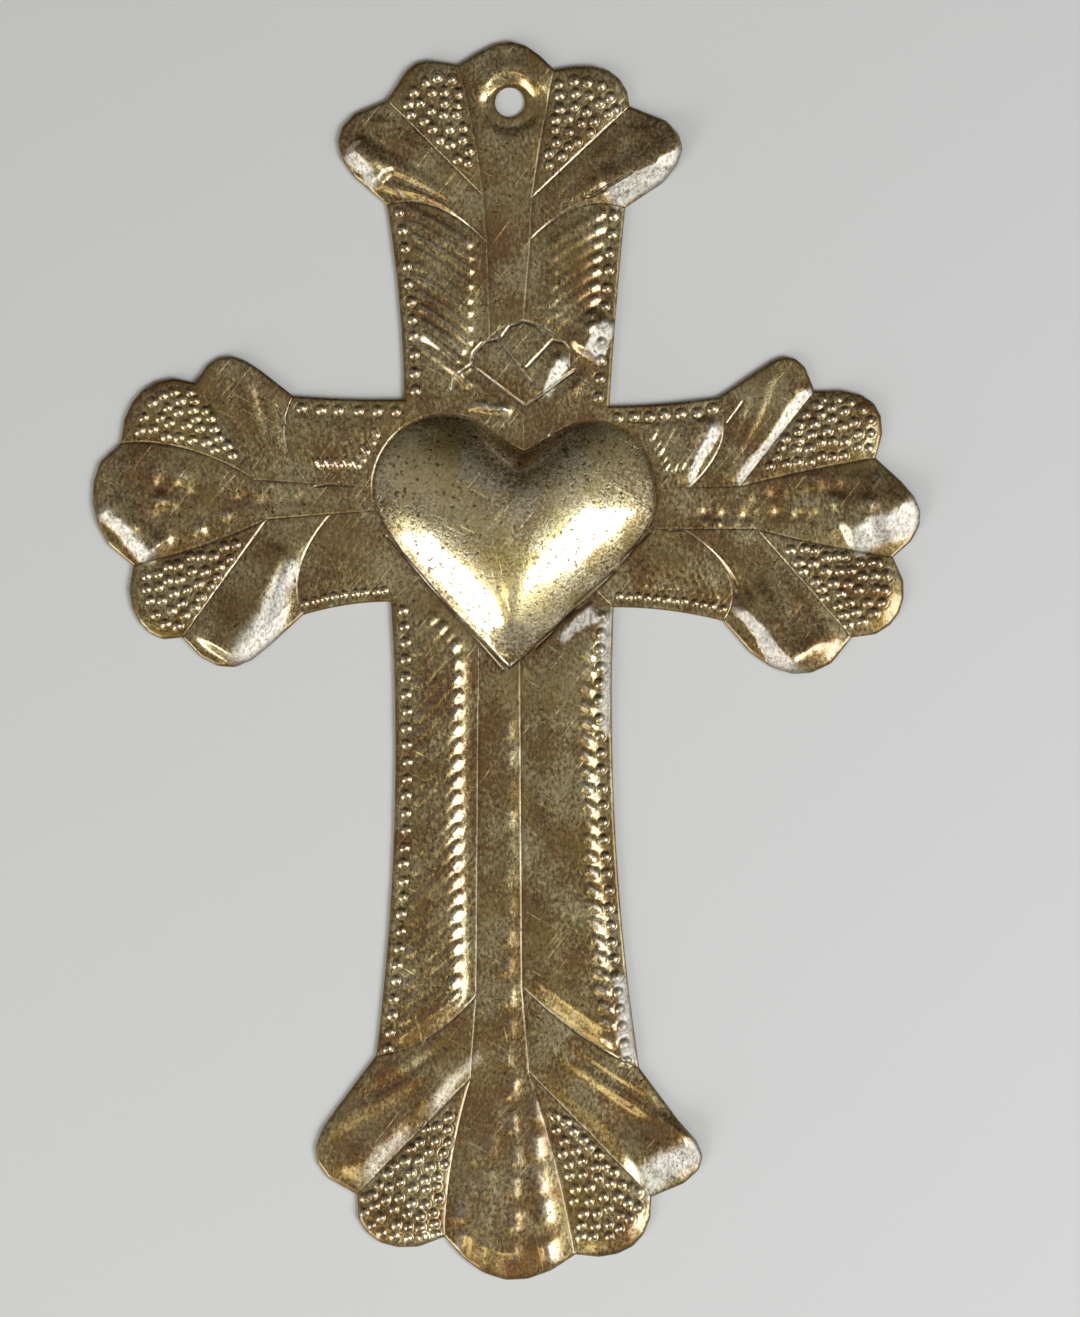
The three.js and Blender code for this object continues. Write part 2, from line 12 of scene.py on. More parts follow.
import bpy
import numpy as np
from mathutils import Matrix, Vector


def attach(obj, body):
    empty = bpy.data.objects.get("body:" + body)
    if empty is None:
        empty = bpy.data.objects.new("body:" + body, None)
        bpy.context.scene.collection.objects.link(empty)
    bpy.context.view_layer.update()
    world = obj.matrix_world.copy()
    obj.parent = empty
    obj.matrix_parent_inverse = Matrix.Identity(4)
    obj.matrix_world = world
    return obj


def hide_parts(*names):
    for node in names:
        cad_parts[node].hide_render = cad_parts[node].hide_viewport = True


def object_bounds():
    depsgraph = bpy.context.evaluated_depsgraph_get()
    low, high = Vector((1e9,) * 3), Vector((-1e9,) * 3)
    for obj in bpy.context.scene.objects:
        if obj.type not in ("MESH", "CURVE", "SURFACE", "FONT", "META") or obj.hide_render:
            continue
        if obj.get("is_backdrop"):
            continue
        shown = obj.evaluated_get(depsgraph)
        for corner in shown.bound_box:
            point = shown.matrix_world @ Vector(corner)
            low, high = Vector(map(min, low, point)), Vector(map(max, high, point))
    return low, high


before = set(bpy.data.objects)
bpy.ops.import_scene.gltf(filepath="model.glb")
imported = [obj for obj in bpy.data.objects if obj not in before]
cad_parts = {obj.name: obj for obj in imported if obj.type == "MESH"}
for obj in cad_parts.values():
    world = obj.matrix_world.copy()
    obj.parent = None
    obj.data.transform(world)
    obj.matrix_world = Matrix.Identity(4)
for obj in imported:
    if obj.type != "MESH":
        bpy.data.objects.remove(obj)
CAD_LOW, CAD_HIGH = (np.array(corner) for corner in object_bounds())

LOG = logging.getLogger("milagro_cross")
BODY = "root"
METRES = 0.001
TINY = 1e-9
BLOW_SEED = 7
MARGIN = 1.0

SHEET = 0.9
THINNEST = 0.4 * SHEET
FLAT_BORDER = 3.2
EDGE_CUTS = 6
EDGE_WEAR = 3
RIDGE_ROUNDNESS = 2.0

# Steps along each kind of line: neighbouring regions share the points of the line between them
LINE_STEPS = 104
SEAM_STEPS = 24
LEAF_STEPS = 100
LOBE_STEPS = 88
CENTRE_STEPS = 88
CURVE_STEPS = 120
RIB_STEPS = 20
SPINE_PASSES = 8

# A tool follows every fourth, sixth or second point of a line
LINE_STRIDE = 4
SPINE_STRIDE = 6
EDGE_STRIDE = 2

# Grooves: their depth, half their width and, where given, how dark and how bare they are
HEART_GROOVE = (0.25, 0.4)
LEAF_GROOVE = (0.14, 0.32)
LOBE_GROOVE = (0.12, 0.3)
SPINE_GROOVE = (0.08, 0.34, 0.5, 0.22)

# Worn edge of the sheet: how far it falls, and over what width
EDGE_ROUNDING = (0.3, 0.6)

Points = np.ndarray
Colour = tuple[float, float, float]
Spot = tuple[float, float]
Window = tuple[slice, slice]
Socket = bpy.types.NodeSocket
Value = bpy.types.NodeSocket | float


class Arm(Enum):
    """Arms of the cross, by the direction of their axis in degrees."""

    TOP = 90.0
    LEFT = 180.0
    RIGHT = 0.0
    BOTTOM = -90.0

    @property
    def axis(self) -> Points:
        """Unit vector along the arm, away from the crossing."""
        return heading(math.radians(self.value))


class Slot(Enum):
    """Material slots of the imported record."""

    SHEET = "lacquered_steel"
    HEART = "heart_steel"


def heading(angle: float) -> Points:
    """Unit vector in a direction given in radians."""
    return np.array([math.cos(angle), math.sin(angle)])


def ease(share: np.ndarray) -> np.ndarray:
    """Smooth step from 0 to 1: 3 s squared less 2 s cubed."""
    s = np.clip(share, 0.0, 1.0)
    return s * s * (3.0 - 2.0 * s)


def arch(share: np.ndarray) -> np.ndarray:
    """Half a sine wave over 0 to 1, and nothing outside."""
    return np.sin(np.pi * np.clip(share, 0.0, 1.0))


def bell(away: np.ndarray, spread: float) -> np.ndarray:
    """Bell curve: e to the power of minus the square of the distance over the spread."""
    return np.exp(-((away / spread) ** 2))


def cone(away: np.ndarray, width: float | np.ndarray) -> np.ndarray:
    """Share that falls in a straight line from 1 at no distance to 0 at the width."""
    return np.clip(1.0 - away / width, 0.0, 1.0)


def straight(start: Points, end: Points, steps: int) -> Points:
    """Points along a straight line, both ends included.

    Args:
        start: First point.
        end: Last point.
        steps: Number of steps between them.

    Returns:
        The points (1 - t) start + t end.
    """
    t = np.linspace(0.0, 1.0, steps + 1)[:, None]
    return (1.0 - t) * start + t * end


def bent(start: Points, towards: Points, end: Points, steps: int) -> Points:
    """Points along a line that bends towards a third point.

    Args:
        start: First point.
        towards: Point that pulls the middle of the line.
        end: Last point.
        steps: Number of steps.

    Returns:
        The points (1 - t)^2 start + 2 t (1 - t) towards + t^2 end.
    """
    t = np.linspace(0.0, 1.0, steps + 1)[:, None]
    return (1.0 - t) ** 2 * start + 2.0 * t * (1.0 - t) * towards + t**2 * end


def joined(*lines: Points) -> Points:
    """Lines end to end, where each starts on the last point of the one before."""
    return np.concatenate([lines[0], *(line[1:] for line in lines[1:])])


def lengths(points: Points) -> np.ndarray:
    """Distance travelled from the first point to every point of a line."""
    return np.concatenate([[0.0], np.cumsum(np.hypot(*np.diff(points, axis=0).T))])


def evenly(points: Points, steps: int, lean: float = 1.0) -> Points:
    """The same line with its points evenly spaced, or crowded towards its start.

    Args:
        points: Points of the line.
        steps: Number of steps wanted.
        lean: Power of the share of the steps; above 1 the points crowd towards the start.

    Returns:
        Points read off the line at distances that grow as the power of the share.
    """
    travelled = lengths(points)
    wanted = travelled[-1] * np.linspace(0.0, 1.0, steps + 1) ** lean
    return np.column_stack([np.interp(wanted, travelled, points[:, k]) for k in (0, 1)])


def softened(points: Points, passes: int) -> Points:
    """Line with its corners worn round.

    Args:
        points: Points of the line.
        passes: How often each inner point moves to the mean of itself, twice, and its neighbours.

    Returns:
        The worn line, with its ends kept.
    """
    worn = points.copy()
    for _ in range(passes):
        worn[1:-1] = (worn[:-2] + 2.0 * worn[1:-1] + worn[2:]) / 4.0
    return worn


def patch(west: Points, east: Points, south: Points, north: Points, hold: float = 1.0) -> np.ndarray:
    """Grid between four lines: west and east run outwards, south and north run across.

    Args:
        west: Line at the start of every row.
        east: Line at the end of every row.
        south: First row.
        north: Last row.
        hold: How fast the shapes of south and north fade inwards; above 1 the inner rows run straight.

    Returns:
        Plan points: straight rows from west to east, plus the first and the last row's departures from
        straight, each faded inwards as a power of the share.
    """
    u = np.linspace(0.0, 1.0, len(west))[:, None, None]
    v = np.linspace(0.0, 1.0, len(south))[None, :, None]
    rows = (1.0 - v) * west[:, None] + v * east[:, None]
    return rows + (1.0 - u) ** hold * (south[None] - rows[:1]) + u**hold * (north[None] - rows[-1:])


def shares(plan: np.ndarray) -> tuple[np.ndarray, np.ndarray]:
    """Shares from 0 to 1 along the rows (outwards) and along the columns (across) of a grid."""
    return np.linspace(0.0, 1.0, plan.shape[0])[:, None], np.linspace(0.0, 1.0, plan.shape[1])[None, :]


def edge_distances(plan: np.ndarray) -> tuple[np.ndarray, np.ndarray, np.ndarray, np.ndarray]:
    """Distances of every grid point from the four sides of its grid.

    Args:
        plan: Grid of plan points.

    Returns:
        Distances from the west, east, south and north lines, each added up along the point's row or column.
    """
    rows = np.cumsum(np.hypot(*np.moveaxis(np.diff(plan, axis=1, prepend=plan[:, :1]), -1, 0)), axis=1)
    columns = np.cumsum(np.hypot(*np.moveaxis(np.diff(plan, axis=0, prepend=plan[:1]), -1, 0)), axis=0)
    return rows, rows[:, -1:] - rows, columns, columns[-1:] - columns


def ridged(plan: np.ndarray, slope: float | np.ndarray) -> np.ndarray:
    """Height of a ridge along the middle of a grid, whose flanks rise from west and east by a slope.

    Args:
        plan: Grid of plan points.
        slope: Rise of the flanks by the distance, the same everywhere or different from row to row.

    Returns:
        The slope times half the width, times 1 less a power of the share of the way from the middle to the
        sides, over that power.
    """
    west, east, _, _ = edge_distances(plan)
    half = np.maximum((west + east) / 2.0, TINY)
    return slope * half * (1.0 - np.abs(west / half - 1.0) ** RIDGE_ROUNDNESS) / RIDGE_ROUNDNESS


def folded(plan: np.ndarray, width: float) -> np.ndarray:
    """Share of the full height where the outer edge is bent down flat over a width: a straight slope."""
    return np.clip(edge_distances(plan)[3] / width, 0.0, 1.0)


class ToolMarks:
    """What the tools left on the front of the sheet, as layers over an even grid of the plan."""

    PITCH = 0.1
    # rubbed_sheen lightens bent facets: wear, and a painted highlight where they face the lamps.
    COLOUR_LAYERS = ("tarnish", "polish", "rust", "rubbed_sheen")
    TARNISH_SPREAD = 0.7
    POLISH_SPREAD = 0.16
    POLISHED_HEIGHTS = (0.15, 0.8)
    RIM_SPREAD = 0.8
    RIM_TARNISH = 0.7
    DISH_TARNISH = 0.8
    MOAT_RADIUS = 1.12
    MOAT_WIDTH = 0.22
    MOAT_DEPTH = 0.15
    MOAT_TARNISH = 0.4
    BEAD_REACH = 2.0
    BELL_REACH = 3.0
    SOFT_REACH = 2.5
    WAVES = 36
    WAVE_LENGTHS = (5.0, 16.0)
    WAVE_SEED = 41
    UNEVENNESS = 0.045
    BEND_SHIFTS = 5
    WAVERS = ((0.3, 0.5, 0.0), (0.07, 1.7, 1.0))

    def __init__(self, low: Points, high: Points) -> None:
        """Blank layers, and the seeded waves of the sheet.

        Args:
            low: Lowest corner of the plan.
            high: Highest corner of the plan.
        """
        self.low = low
        self.size = tuple(np.ceil((high - low) / self.PITCH).astype(int) + 1)
        self.raised = np.zeros(self.size)
        self.cut = np.zeros(self.size)
        self.tarnish = np.zeros(self.size)
        self.polish = np.zeros(self.size)
        self.rust = np.zeros(self.size)
        self.rubbed_sheen = np.zeros(self.size)
        rng = np.random.default_rng(self.WAVE_SEED)
        turns = rng.uniform(0.0, np.pi, self.WAVES)
        wave_numbers = 2.0 * np.pi / rng.uniform(*self.WAVE_LENGTHS, self.WAVES)
        self.waves = np.stack([np.cos(turns), np.sin(turns)]) * wave_numbers
        self.phases = rng.uniform(0.0, 2.0 * np.pi, self.WAVES)

    def _near(self, points: Points, reach: float) -> tuple[Window, np.ndarray]:
        """Distance to a line in the window around it.

        Args:
            points: Points of the line, or a single spot.
            reach: How far the window goes beyond the line.

        Returns:
            The window, and the distance from each of its cells to the nearest stretch of the line.
        """
        first = np.floor((points.min(axis=0) - reach - self.low) / self.PITCH).astype(int)
        last = np.ceil((points.max(axis=0) + reach - self.low) / self.PITCH).astype(int) + 1
        first, last = np.clip(first, 0, self.size), np.clip(last, 0, self.size)
        window = slice(first[0], last[0]), slice(first[1], last[1])
        x, y = self._cells(window)
        nearest = np.hypot(x - points[0, 0], y - points[0, 1])
        for start, end in zip(points[:-1], points[1:]):
            along = end - start
            share = ((x - start[0]) * along[0] + (y - start[1]) * along[1]) / max(along @ along, TINY)
            share = np.clip(share, 0.0, 1.0)
            away = np.hypot(x - start[0] - share * along[0], y - start[1] - share * along[1])
            nearest = np.minimum(nearest, away)
        return window, nearest

    def _cells(self, window: Window) -> tuple[np.ndarray, np.ndarray]:
        """Places of a window's cells along x, as a column, and along y, as a row."""
        x, y = (self.low[k] + self.PITCH * np.arange(window[k].start, window[k].stop) for k in (0, 1))
        return x[:, None], y[None, :]

    @staticmethod
    def _stronger(layer: np.ndarray, window: Window, amount: np.ndarray) -> None:
        """Leaves the stronger of what a layer holds in a window and a new amount."""
        layer[window] = np.maximum(layer[window], amount)

    def chase(self, points: Points, depth: float, width: float, tarnish: float = 0.3,
              shine: float = 0.5) -> None:
        """Groove of a chisel: its depth falls in a straight line from the middle to its width.

        Args:
            points: Line that the chisel follows.
            depth: Depth in the middle.
            width: Distance from the middle to the lip.
            tarnish: How dark the groove and its lips are.
            shine: How bare the middle of the groove is.
        """
        window, away = self._near(points, self.BELL_REACH * self.TARNISH_SPREAD)
        self._stronger(self.cut, window, depth * cone(away, width))
        self._stronger(self.polish, window, shine * bell(away, self.POLISH_SPREAD))
        self._stronger(self.tarnish, window, tarnish * bell(away, self.TARNISH_SPREAD))

    def round_rim(self, points: Points, depth: float, width: float) -> None:
        """Worn edge of the sheet: its front falls over the width, with the square of the nearness.

        Args:
            points: Line of the edge.
            depth: Fall at the edge.
            width: Distance over which it falls.
        """
        window, away = self._near(points, self.BELL_REACH * self.RIM_SPREAD)
        self._stronger(self.cut, window, depth * cone(away, width) ** 2)
        self._stronger(self.tarnish, window, self.RIM_TARNISH * bell(away, self.RIM_SPREAD))

    def bead(self, spot: Points, radius: float, height: float) -> None:
        """Round punch mark: a dome that falls with the square of the distance, in a shallow moat.

        Args:
            spot: Middle of the bead.
            radius: Radius of the dome.
            height: Height of the dome.
        """
        window, away = self._near(spot[None], self.BEAD_REACH * radius)
        dome = height * np.clip(1.0 - (away / radius) ** 2, 0.0, 1.0)
        moat = bell(away - self.MOAT_RADIUS * radius, self.MOAT_WIDTH * radius)
        self._stronger(self.raised, window, dome)
        self._stronger(self.cut, window, self.MOAT_DEPTH * height * moat)
        self._stronger(self.tarnish, window, self.MOAT_TARNISH * moat)

    def ridge(self, points: Points, radius: float, height: float) -> None:
        """Rib hammered up from the back: it falls from the line as half a cosine wave.

        Args:
            points: Line of the crest.
            radius: Distance from the crest to the foot.
            height: Height of the crest.
        """
        window, away = self._near(points, radius)
        crest = height * (0.5 + 0.5 * np.cos(np.pi * np.clip(away / radius, 0.0, 1.0)))
        self._stronger(self.raised, window, crest)

    def bump(self, points: Points, radius: float, height: float) -> None:
        """Soft blow from the back: a bell curve about a line, added to what is there.

        Args:
            points: Line of the crest.
            radius: Distance at which it has fallen to a third.
            height: Height of the crest.
        """
        window, away = self._near(points, self.SOFT_REACH * radius)
        self.raised[window] += height * bell(away, radius)

    def bend(self, crease: Points, facet: Spot, slope: float, back: float, soft: float, fade: float,
             rub_and_sheen: float) -> None:
        """Sheet bent along a wavering crease: a facet falls away on its right, and the left eases down.

        Args:
            crease: The two ends of the crease.
            facet: Width of the facet at either end.
            slope: Fall of the facet by the distance.
            back: Distance over which the sheet eases down behind the crease.
            soft: Distance on either side of the crease over which it is rounded.
            fade: Distance over which the bend dies out beyond either end.
            rub_and_sheen: How far the facet is lightened towards bare steel: wear, and a painted highlight
                where it faces the lamps.
        """
        window, _ = self._near(crease, max(*facet, back) + soft + fade)
        x, y = self._cells(window)
        run = crease[1] - crease[0]
        length = np.hypot(*run)
        ahead = ((x - crease[0, 0]) * run[0] + (y - crease[0, 1]) * run[1]) / length
        right = ((x - crease[0, 0]) * run[1] - (y - crease[0, 1]) * run[0]) / length
        right = right + sum(height * np.sin(wave * ahead + phase) for height, wave, phase in self.WAVERS)
        width = np.interp(ahead, [0.0, length], facet)
        tent = np.zeros_like(right)
        for beside in (right + shift for shift in np.linspace(-soft, soft, self.BEND_SHIFTS)):
            tent += np.where(beside > 0.0, cone(beside, width), 1.0 - ease(-beside / back))
        ends = ease(1.0 + ahead / fade) * ease(1.0 + (length - ahead) / fade)
        self.raised[window] += slope * width * ends * tent / self.BEND_SHIFTS
        # The facet's share of the bare colour: wear, and a painted highlight on a facet that faces the
        # lamps.
        rubbed_and_sheen = rub_and_sheen * ends * ease(0.5 + 0.5 * right / soft) * ease(0.5 + 0.5 * (width - right) / soft)
        self._stronger(self.rubbed_sheen, window, rubbed_and_sheen)

    def stain(self, points: Points, spread: float, amount: float) -> None:
        """Rust about a line: a bell curve, the stronger of what is there and the new amount.

        Args:
            points: Line in the middle of the stain.
            spread: Distance at which it has fallen to a third.
            amount: Strength in the middle.
        """
        window, away = self._near(points, self.SOFT_REACH * spread)
        self._stronger(self.rust, window, amount * bell(away, spread))

    def dish(self, spot: Points, rim: float, spread: float, depth: float) -> None:
        """Hollow round a punched hole: full depth at the rim, falling off as a bell curve outside it.

        Args:
            spot: Middle of the hole.
            rim: Radius of the hole.
            spread: Width of the bell curve.
            depth: Depth at the rim.
        """
        window, away = self._near(spot[None], rim + self.BELL_REACH * spread)
        outside = np.maximum(away - rim, 0.0)
        self.raised[window] -= depth * bell(outside, spread)
        self._stronger(self.tarnish, window, self.DISH_TARNISH * bell(outside, self.TARNISH_SPREAD))

    def polish_crests(self) -> None:
        """Polishes what stands proud, more the higher it is."""
        low, high = self.POLISHED_HEIGHTS
        self.polish = np.maximum(self.polish, np.clip((self.raised - low) / (high - low), 0.0, 1.0))

    def at(self, layer: np.ndarray, plan: np.ndarray) -> np.ndarray:
        """Layer read at plan points.

        Args:
            layer: One of the layers.
            plan: Points, with x and y on the last axis.

        Returns:
            The mean of the four nearest cells, each weighted by its nearness.
        """
        place = (plan - self.low) / self.PITCH
        cell = np.clip(np.floor(place).astype(int), 0, np.array(self.size) - 2)
        fx, fy = np.moveaxis(place - cell, -1, 0)
        i, j = np.moveaxis(cell, -1, 0)
        near = layer[i, j] * (1.0 - fy) + layer[i, j + 1] * fy
        far = layer[i + 1, j] * (1.0 - fy) + layer[i + 1, j + 1] * fy
        return near * (1.0 - fx) + far * fx

    def unevenness(self, plan: np.ndarray) -> np.ndarray:
        """Hand-hammered waviness: a sum of plane waves in seeded directions and phases."""
        return self.UNEVENNESS * np.sin(plan @ self.waves + self.phases).sum(axis=-1) / math.sqrt(self.WAVES)


@dataclass
class SheetGrid:
    """One region of the sheet as a grid: plan points, and how far the region swells above the flat sheet."""

    plan: np.ndarray
    swell: np.ndarray
    ring: bool = False

    def heights(self, marks: ToolMarks) -> tuple[np.ndarray, np.ndarray]:
        """Heights of the front and of the back of the sheet.

        Args:
            marks: Tool marks on the sheet.

        Returns:
            Swell, tool marks and waviness, with and without the sheet's thickness less the grooves.
        """
        raised = self.swell + marks.at(marks.raised, self.plan) + marks.unevenness(self.plan)
        front = SHEET + raised - marks.at(marks.cut, self.plan)
        return np.maximum(front, THINNEST), np.maximum(raised, 0.0)

    def triangles(self, marks: ToolMarks) -> tuple[np.ndarray, np.ndarray, int]:
        """Closed shell: the front on the whole grid, the back on every second point, and walls between.

        Args:
            marks: Tool marks that shape the front and the back.

        Returns:
            Vertices, triangles, and how many of the last triangles are walls.
        """
        front, back = self.heights(marks)
        over = np.dstack([self.plan, front])
        under = np.dstack([self.plan, back])[::2, ::2]
        vertices = np.concatenate([over.reshape(-1, 3), under.reshape(-1, 3)])
        top = self._numbered(over, 0)
        low = self._numbered(under, top.size)
        f, b = self._rim(top), self._rim(low)
        f0, f1, f2, b0, b1 = f[0::2], f[1::2], np.roll(f[0::2], -1), b, np.roll(b, -1)
        walls = np.concatenate([np.column_stack(t) for t in ((f0, f1, b0), (f1, f2, b1), (f1, b1, b0))])
        upper, lower = self._faces(top), self._faces(low)[:, ::-1]
        faces = [self._whole(part) for part in (upper, lower, walls)]
        corner = vertices[faces[0]]
        one, two = corner[:, 1, :2] - corner[:, 0, :2], corner[:, 2, :2] - corner[:, 0, :2]
        turned = np.sum(one[:, 0] * two[:, 1] - one[:, 1] * two[:, 0]) < 0.0
        every = np.concatenate(faces)
        every = every[:, ::-1] if turned else every
        used, numbers = np.unique(every, return_inverse=True)
        return vertices[used], numbers.reshape(-1, 3), len(faces[2])

    def _numbered(self, grid: np.ndarray, start: int) -> np.ndarray:
        """Vertex numbers over a grid, with a closed ring's seam and a pole joined into single vertices.

        Args:
            grid: Points of the front or of the back.
            start: First number.

        Returns:
            One number for each point of the grid.
        """
        numbers = start + np.arange(grid.shape[0] * grid.shape[1]).reshape(grid.shape[:2])
        if self.ring:
            numbers[:, -1] = numbers[:, 0]
        if np.allclose(grid[0, :, :2], grid[0, 0, :2]):
            numbers[0] = numbers[0, 0]
        return numbers

    def _rim(self, numbers: np.ndarray) -> np.ndarray:
        """Vertex numbers round the edge of a grid.

        Args:
            numbers: Vertex numbers over the grid.

        Returns:
            The numbers in order, all round a grid, or round the outer line of a closed ring.
        """
        if self.ring:
            return numbers[-1, :0:-1]
        return np.concatenate([numbers[0, :-1], numbers[:-1, -1], numbers[-1, :0:-1], numbers[:0:-1, 0]])

    @staticmethod
    def _faces(numbers: np.ndarray) -> np.ndarray:
        """Two triangles in every cell of a grid."""
        a, b, c, d = numbers[:-1, :-1], numbers[1:, :-1], numbers[1:, 1:], numbers[:-1, 1:]
        return np.concatenate([np.stack(t, -1).reshape(-1, 3) for t in ((a, b, c), (a, c, d))])

    @staticmethod
    def _whole(faces: np.ndarray) -> np.ndarray:
        """The triangles that have three different corners."""
        a, b, c = faces.T
        return faces[(a != b) & (b != c) & (c != a)]


@dataclass
class Workshop:
    """Turns grids into pieces of the scene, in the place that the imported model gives."""

    marks: ToolMarks
    crossing: Points
    sheet_steel: bpy.types.Material
    heart_steel: bpy.types.Material

    def piece(self, node: str, grid: SheetGrid) -> bpy.types.Object:
        """Mesh object that stands for a node.

        Args:
            node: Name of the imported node.
            grid: Region of the sheet.

        Returns:
            The object, with its place in its mesh.
        """
        vertices, triangles, walls = grid.triangles(self.marks)
        smooth = np.arange(len(triangles)) < len(triangles) - walls
        return self.solid(f"{node}_sheet", vertices, triangles, smooth)

    def solid(self, name: str, vertices: np.ndarray, triangles: np.ndarray,
              smooth: np.ndarray) -> bpy.types.Object:
        """Object made of triangles.

        Args:
            name: Name of the object.
            vertices: Corners in millimetres from the crossing.
            triangles: Corner numbers, three a row.
            smooth: Which triangles are shaded smooth.

        Returns:
            The linked object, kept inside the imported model's box.
        """
        placed = (vertices + [*self.crossing, 0.0]) * METRES
        placed = np.clip(placed, CAD_LOW, CAD_HIGH)
        mesh = bpy.data.meshes.new(name)
        mesh.vertices.add(len(placed))
        mesh.vertices.foreach_set("co", placed.astype(np.float32).ravel())
        mesh.loops.add(triangles.size)
        mesh.loops.foreach_set("vertex_index", triangles.astype(np.int32).ravel())
        mesh.polygons.add(len(triangles))
        mesh.polygons.foreach_set("loop_start", np.arange(0, triangles.size, 3, dtype=np.int32))
        mesh.polygons.foreach_set("use_smooth", smooth)
        mesh.update(calc_edges=True)
        mesh.validate()
        made = bpy.data.objects.new(name, mesh)
        bpy.context.scene.collection.objects.link(made)
        return made

    def punch(self, piece: bpy.types.Object, spot: Points, radius: float, sides: int) -> None:
        """Round hole through a piece.

        Args:
            piece: Piece to punch.
            spot: Middle of the hole.
            radius: Radius of the hole.
            sides: Sides of the punch.
        """
        turn = np.linspace(0.0, 2.0 * np.pi, sides, endpoint=False)
        circle = spot + radius * np.column_stack([np.cos(turn), np.sin(turn)])
        reach = CAD_HIGH[2] / METRES
        rings = [np.column_stack([circle, np.full(sides, z)]) for z in (-reach, 2.0 * reach)]
        low = np.arange(sides)
        after = np.roll(low, -1)
        halves = (low, after, after + sides), (low, after + sides, low + sides)
        wall = np.concatenate([np.column_stack(half) for half in halves])
        fan = np.arange(1, sides - 1)
        cap = np.column_stack([np.zeros_like(fan), fan, fan + 1])
        faces = np.concatenate([wall, cap[:, ::-1], cap + sides])
        mesh = bpy.data.meshes.new("nail_punch")
        corners = (np.concatenate(rings) + [*self.crossing, 0.0]) * METRES
        mesh.from_pydata(corners.tolist(), [], faces.tolist())
        punch = bpy.data.objects.new("nail_punch", mesh)
        bpy.context.scene.collection.objects.link(punch)
        cut = piece.modifiers.new("nail_hole", "BOOLEAN")
        cut.operation = "DIFFERENCE"
        cut.solver = "EXACT"
        cut.object = punch
        bpy.context.view_layer.update()
        cleared = bpy.data.meshes.new_from_object(piece.evaluated_get(bpy.context.evaluated_depsgraph_get()))
        piece.modifiers.clear()
        piece.data = cleared
        bpy.data.objects.remove(punch)

    def dress(self, piece: bpy.types.Object, node: str, slot: Slot) -> None:
        """Finish, tarnish and place in the model of one piece.

        Args:
            piece: Piece to dress.
            node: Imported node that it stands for.
            slot: Record slot of its finish.
        """
        mesh = piece.data
        corners = np.empty(len(mesh.vertices) * 3, np.float32)
        mesh.vertices.foreach_get("co", corners)
        plan = corners.reshape(-1, 3)[:, :2] / METRES - self.crossing
        for name in self.marks.COLOUR_LAYERS:
            values = self.marks.at(getattr(self.marks, name), plan)
            mesh.attributes.new(name, "FLOAT", "POINT").data.foreach_set("value", values.astype(np.float32))
        mesh.materials.clear()
        mesh.materials.append(self.heart_steel if slot is Slot.HEART else self.sheet_steel)
        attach(piece, BODY)
        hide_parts(node)
        LOG.info("%s: %d triangles", piece.name, len(mesh.polygons))


@dataclass(frozen=True)
class HeartSide:
    """One side of the heart: its crown, its widest point, and its drop before it runs to the point."""

    crown_out: float
    crown_height: float
    side_out: float
    side_height: float
    cheek_drop: float


@dataclass(frozen=True)
class Stroke:
    """Straight chisel strokes between spots."""

    spots: tuple[Spot, ...]
    depth: float = 0.16
    width: float = 0.34
    tarnish: float = 0.3
    shine: float = 0.6

    def chase(self, marks: ToolMarks) -> None:
        """Cuts the strokes into the sheet."""
        marks.chase(np.array(self.spots), self.depth, self.width, self.tarnish, self.shine)


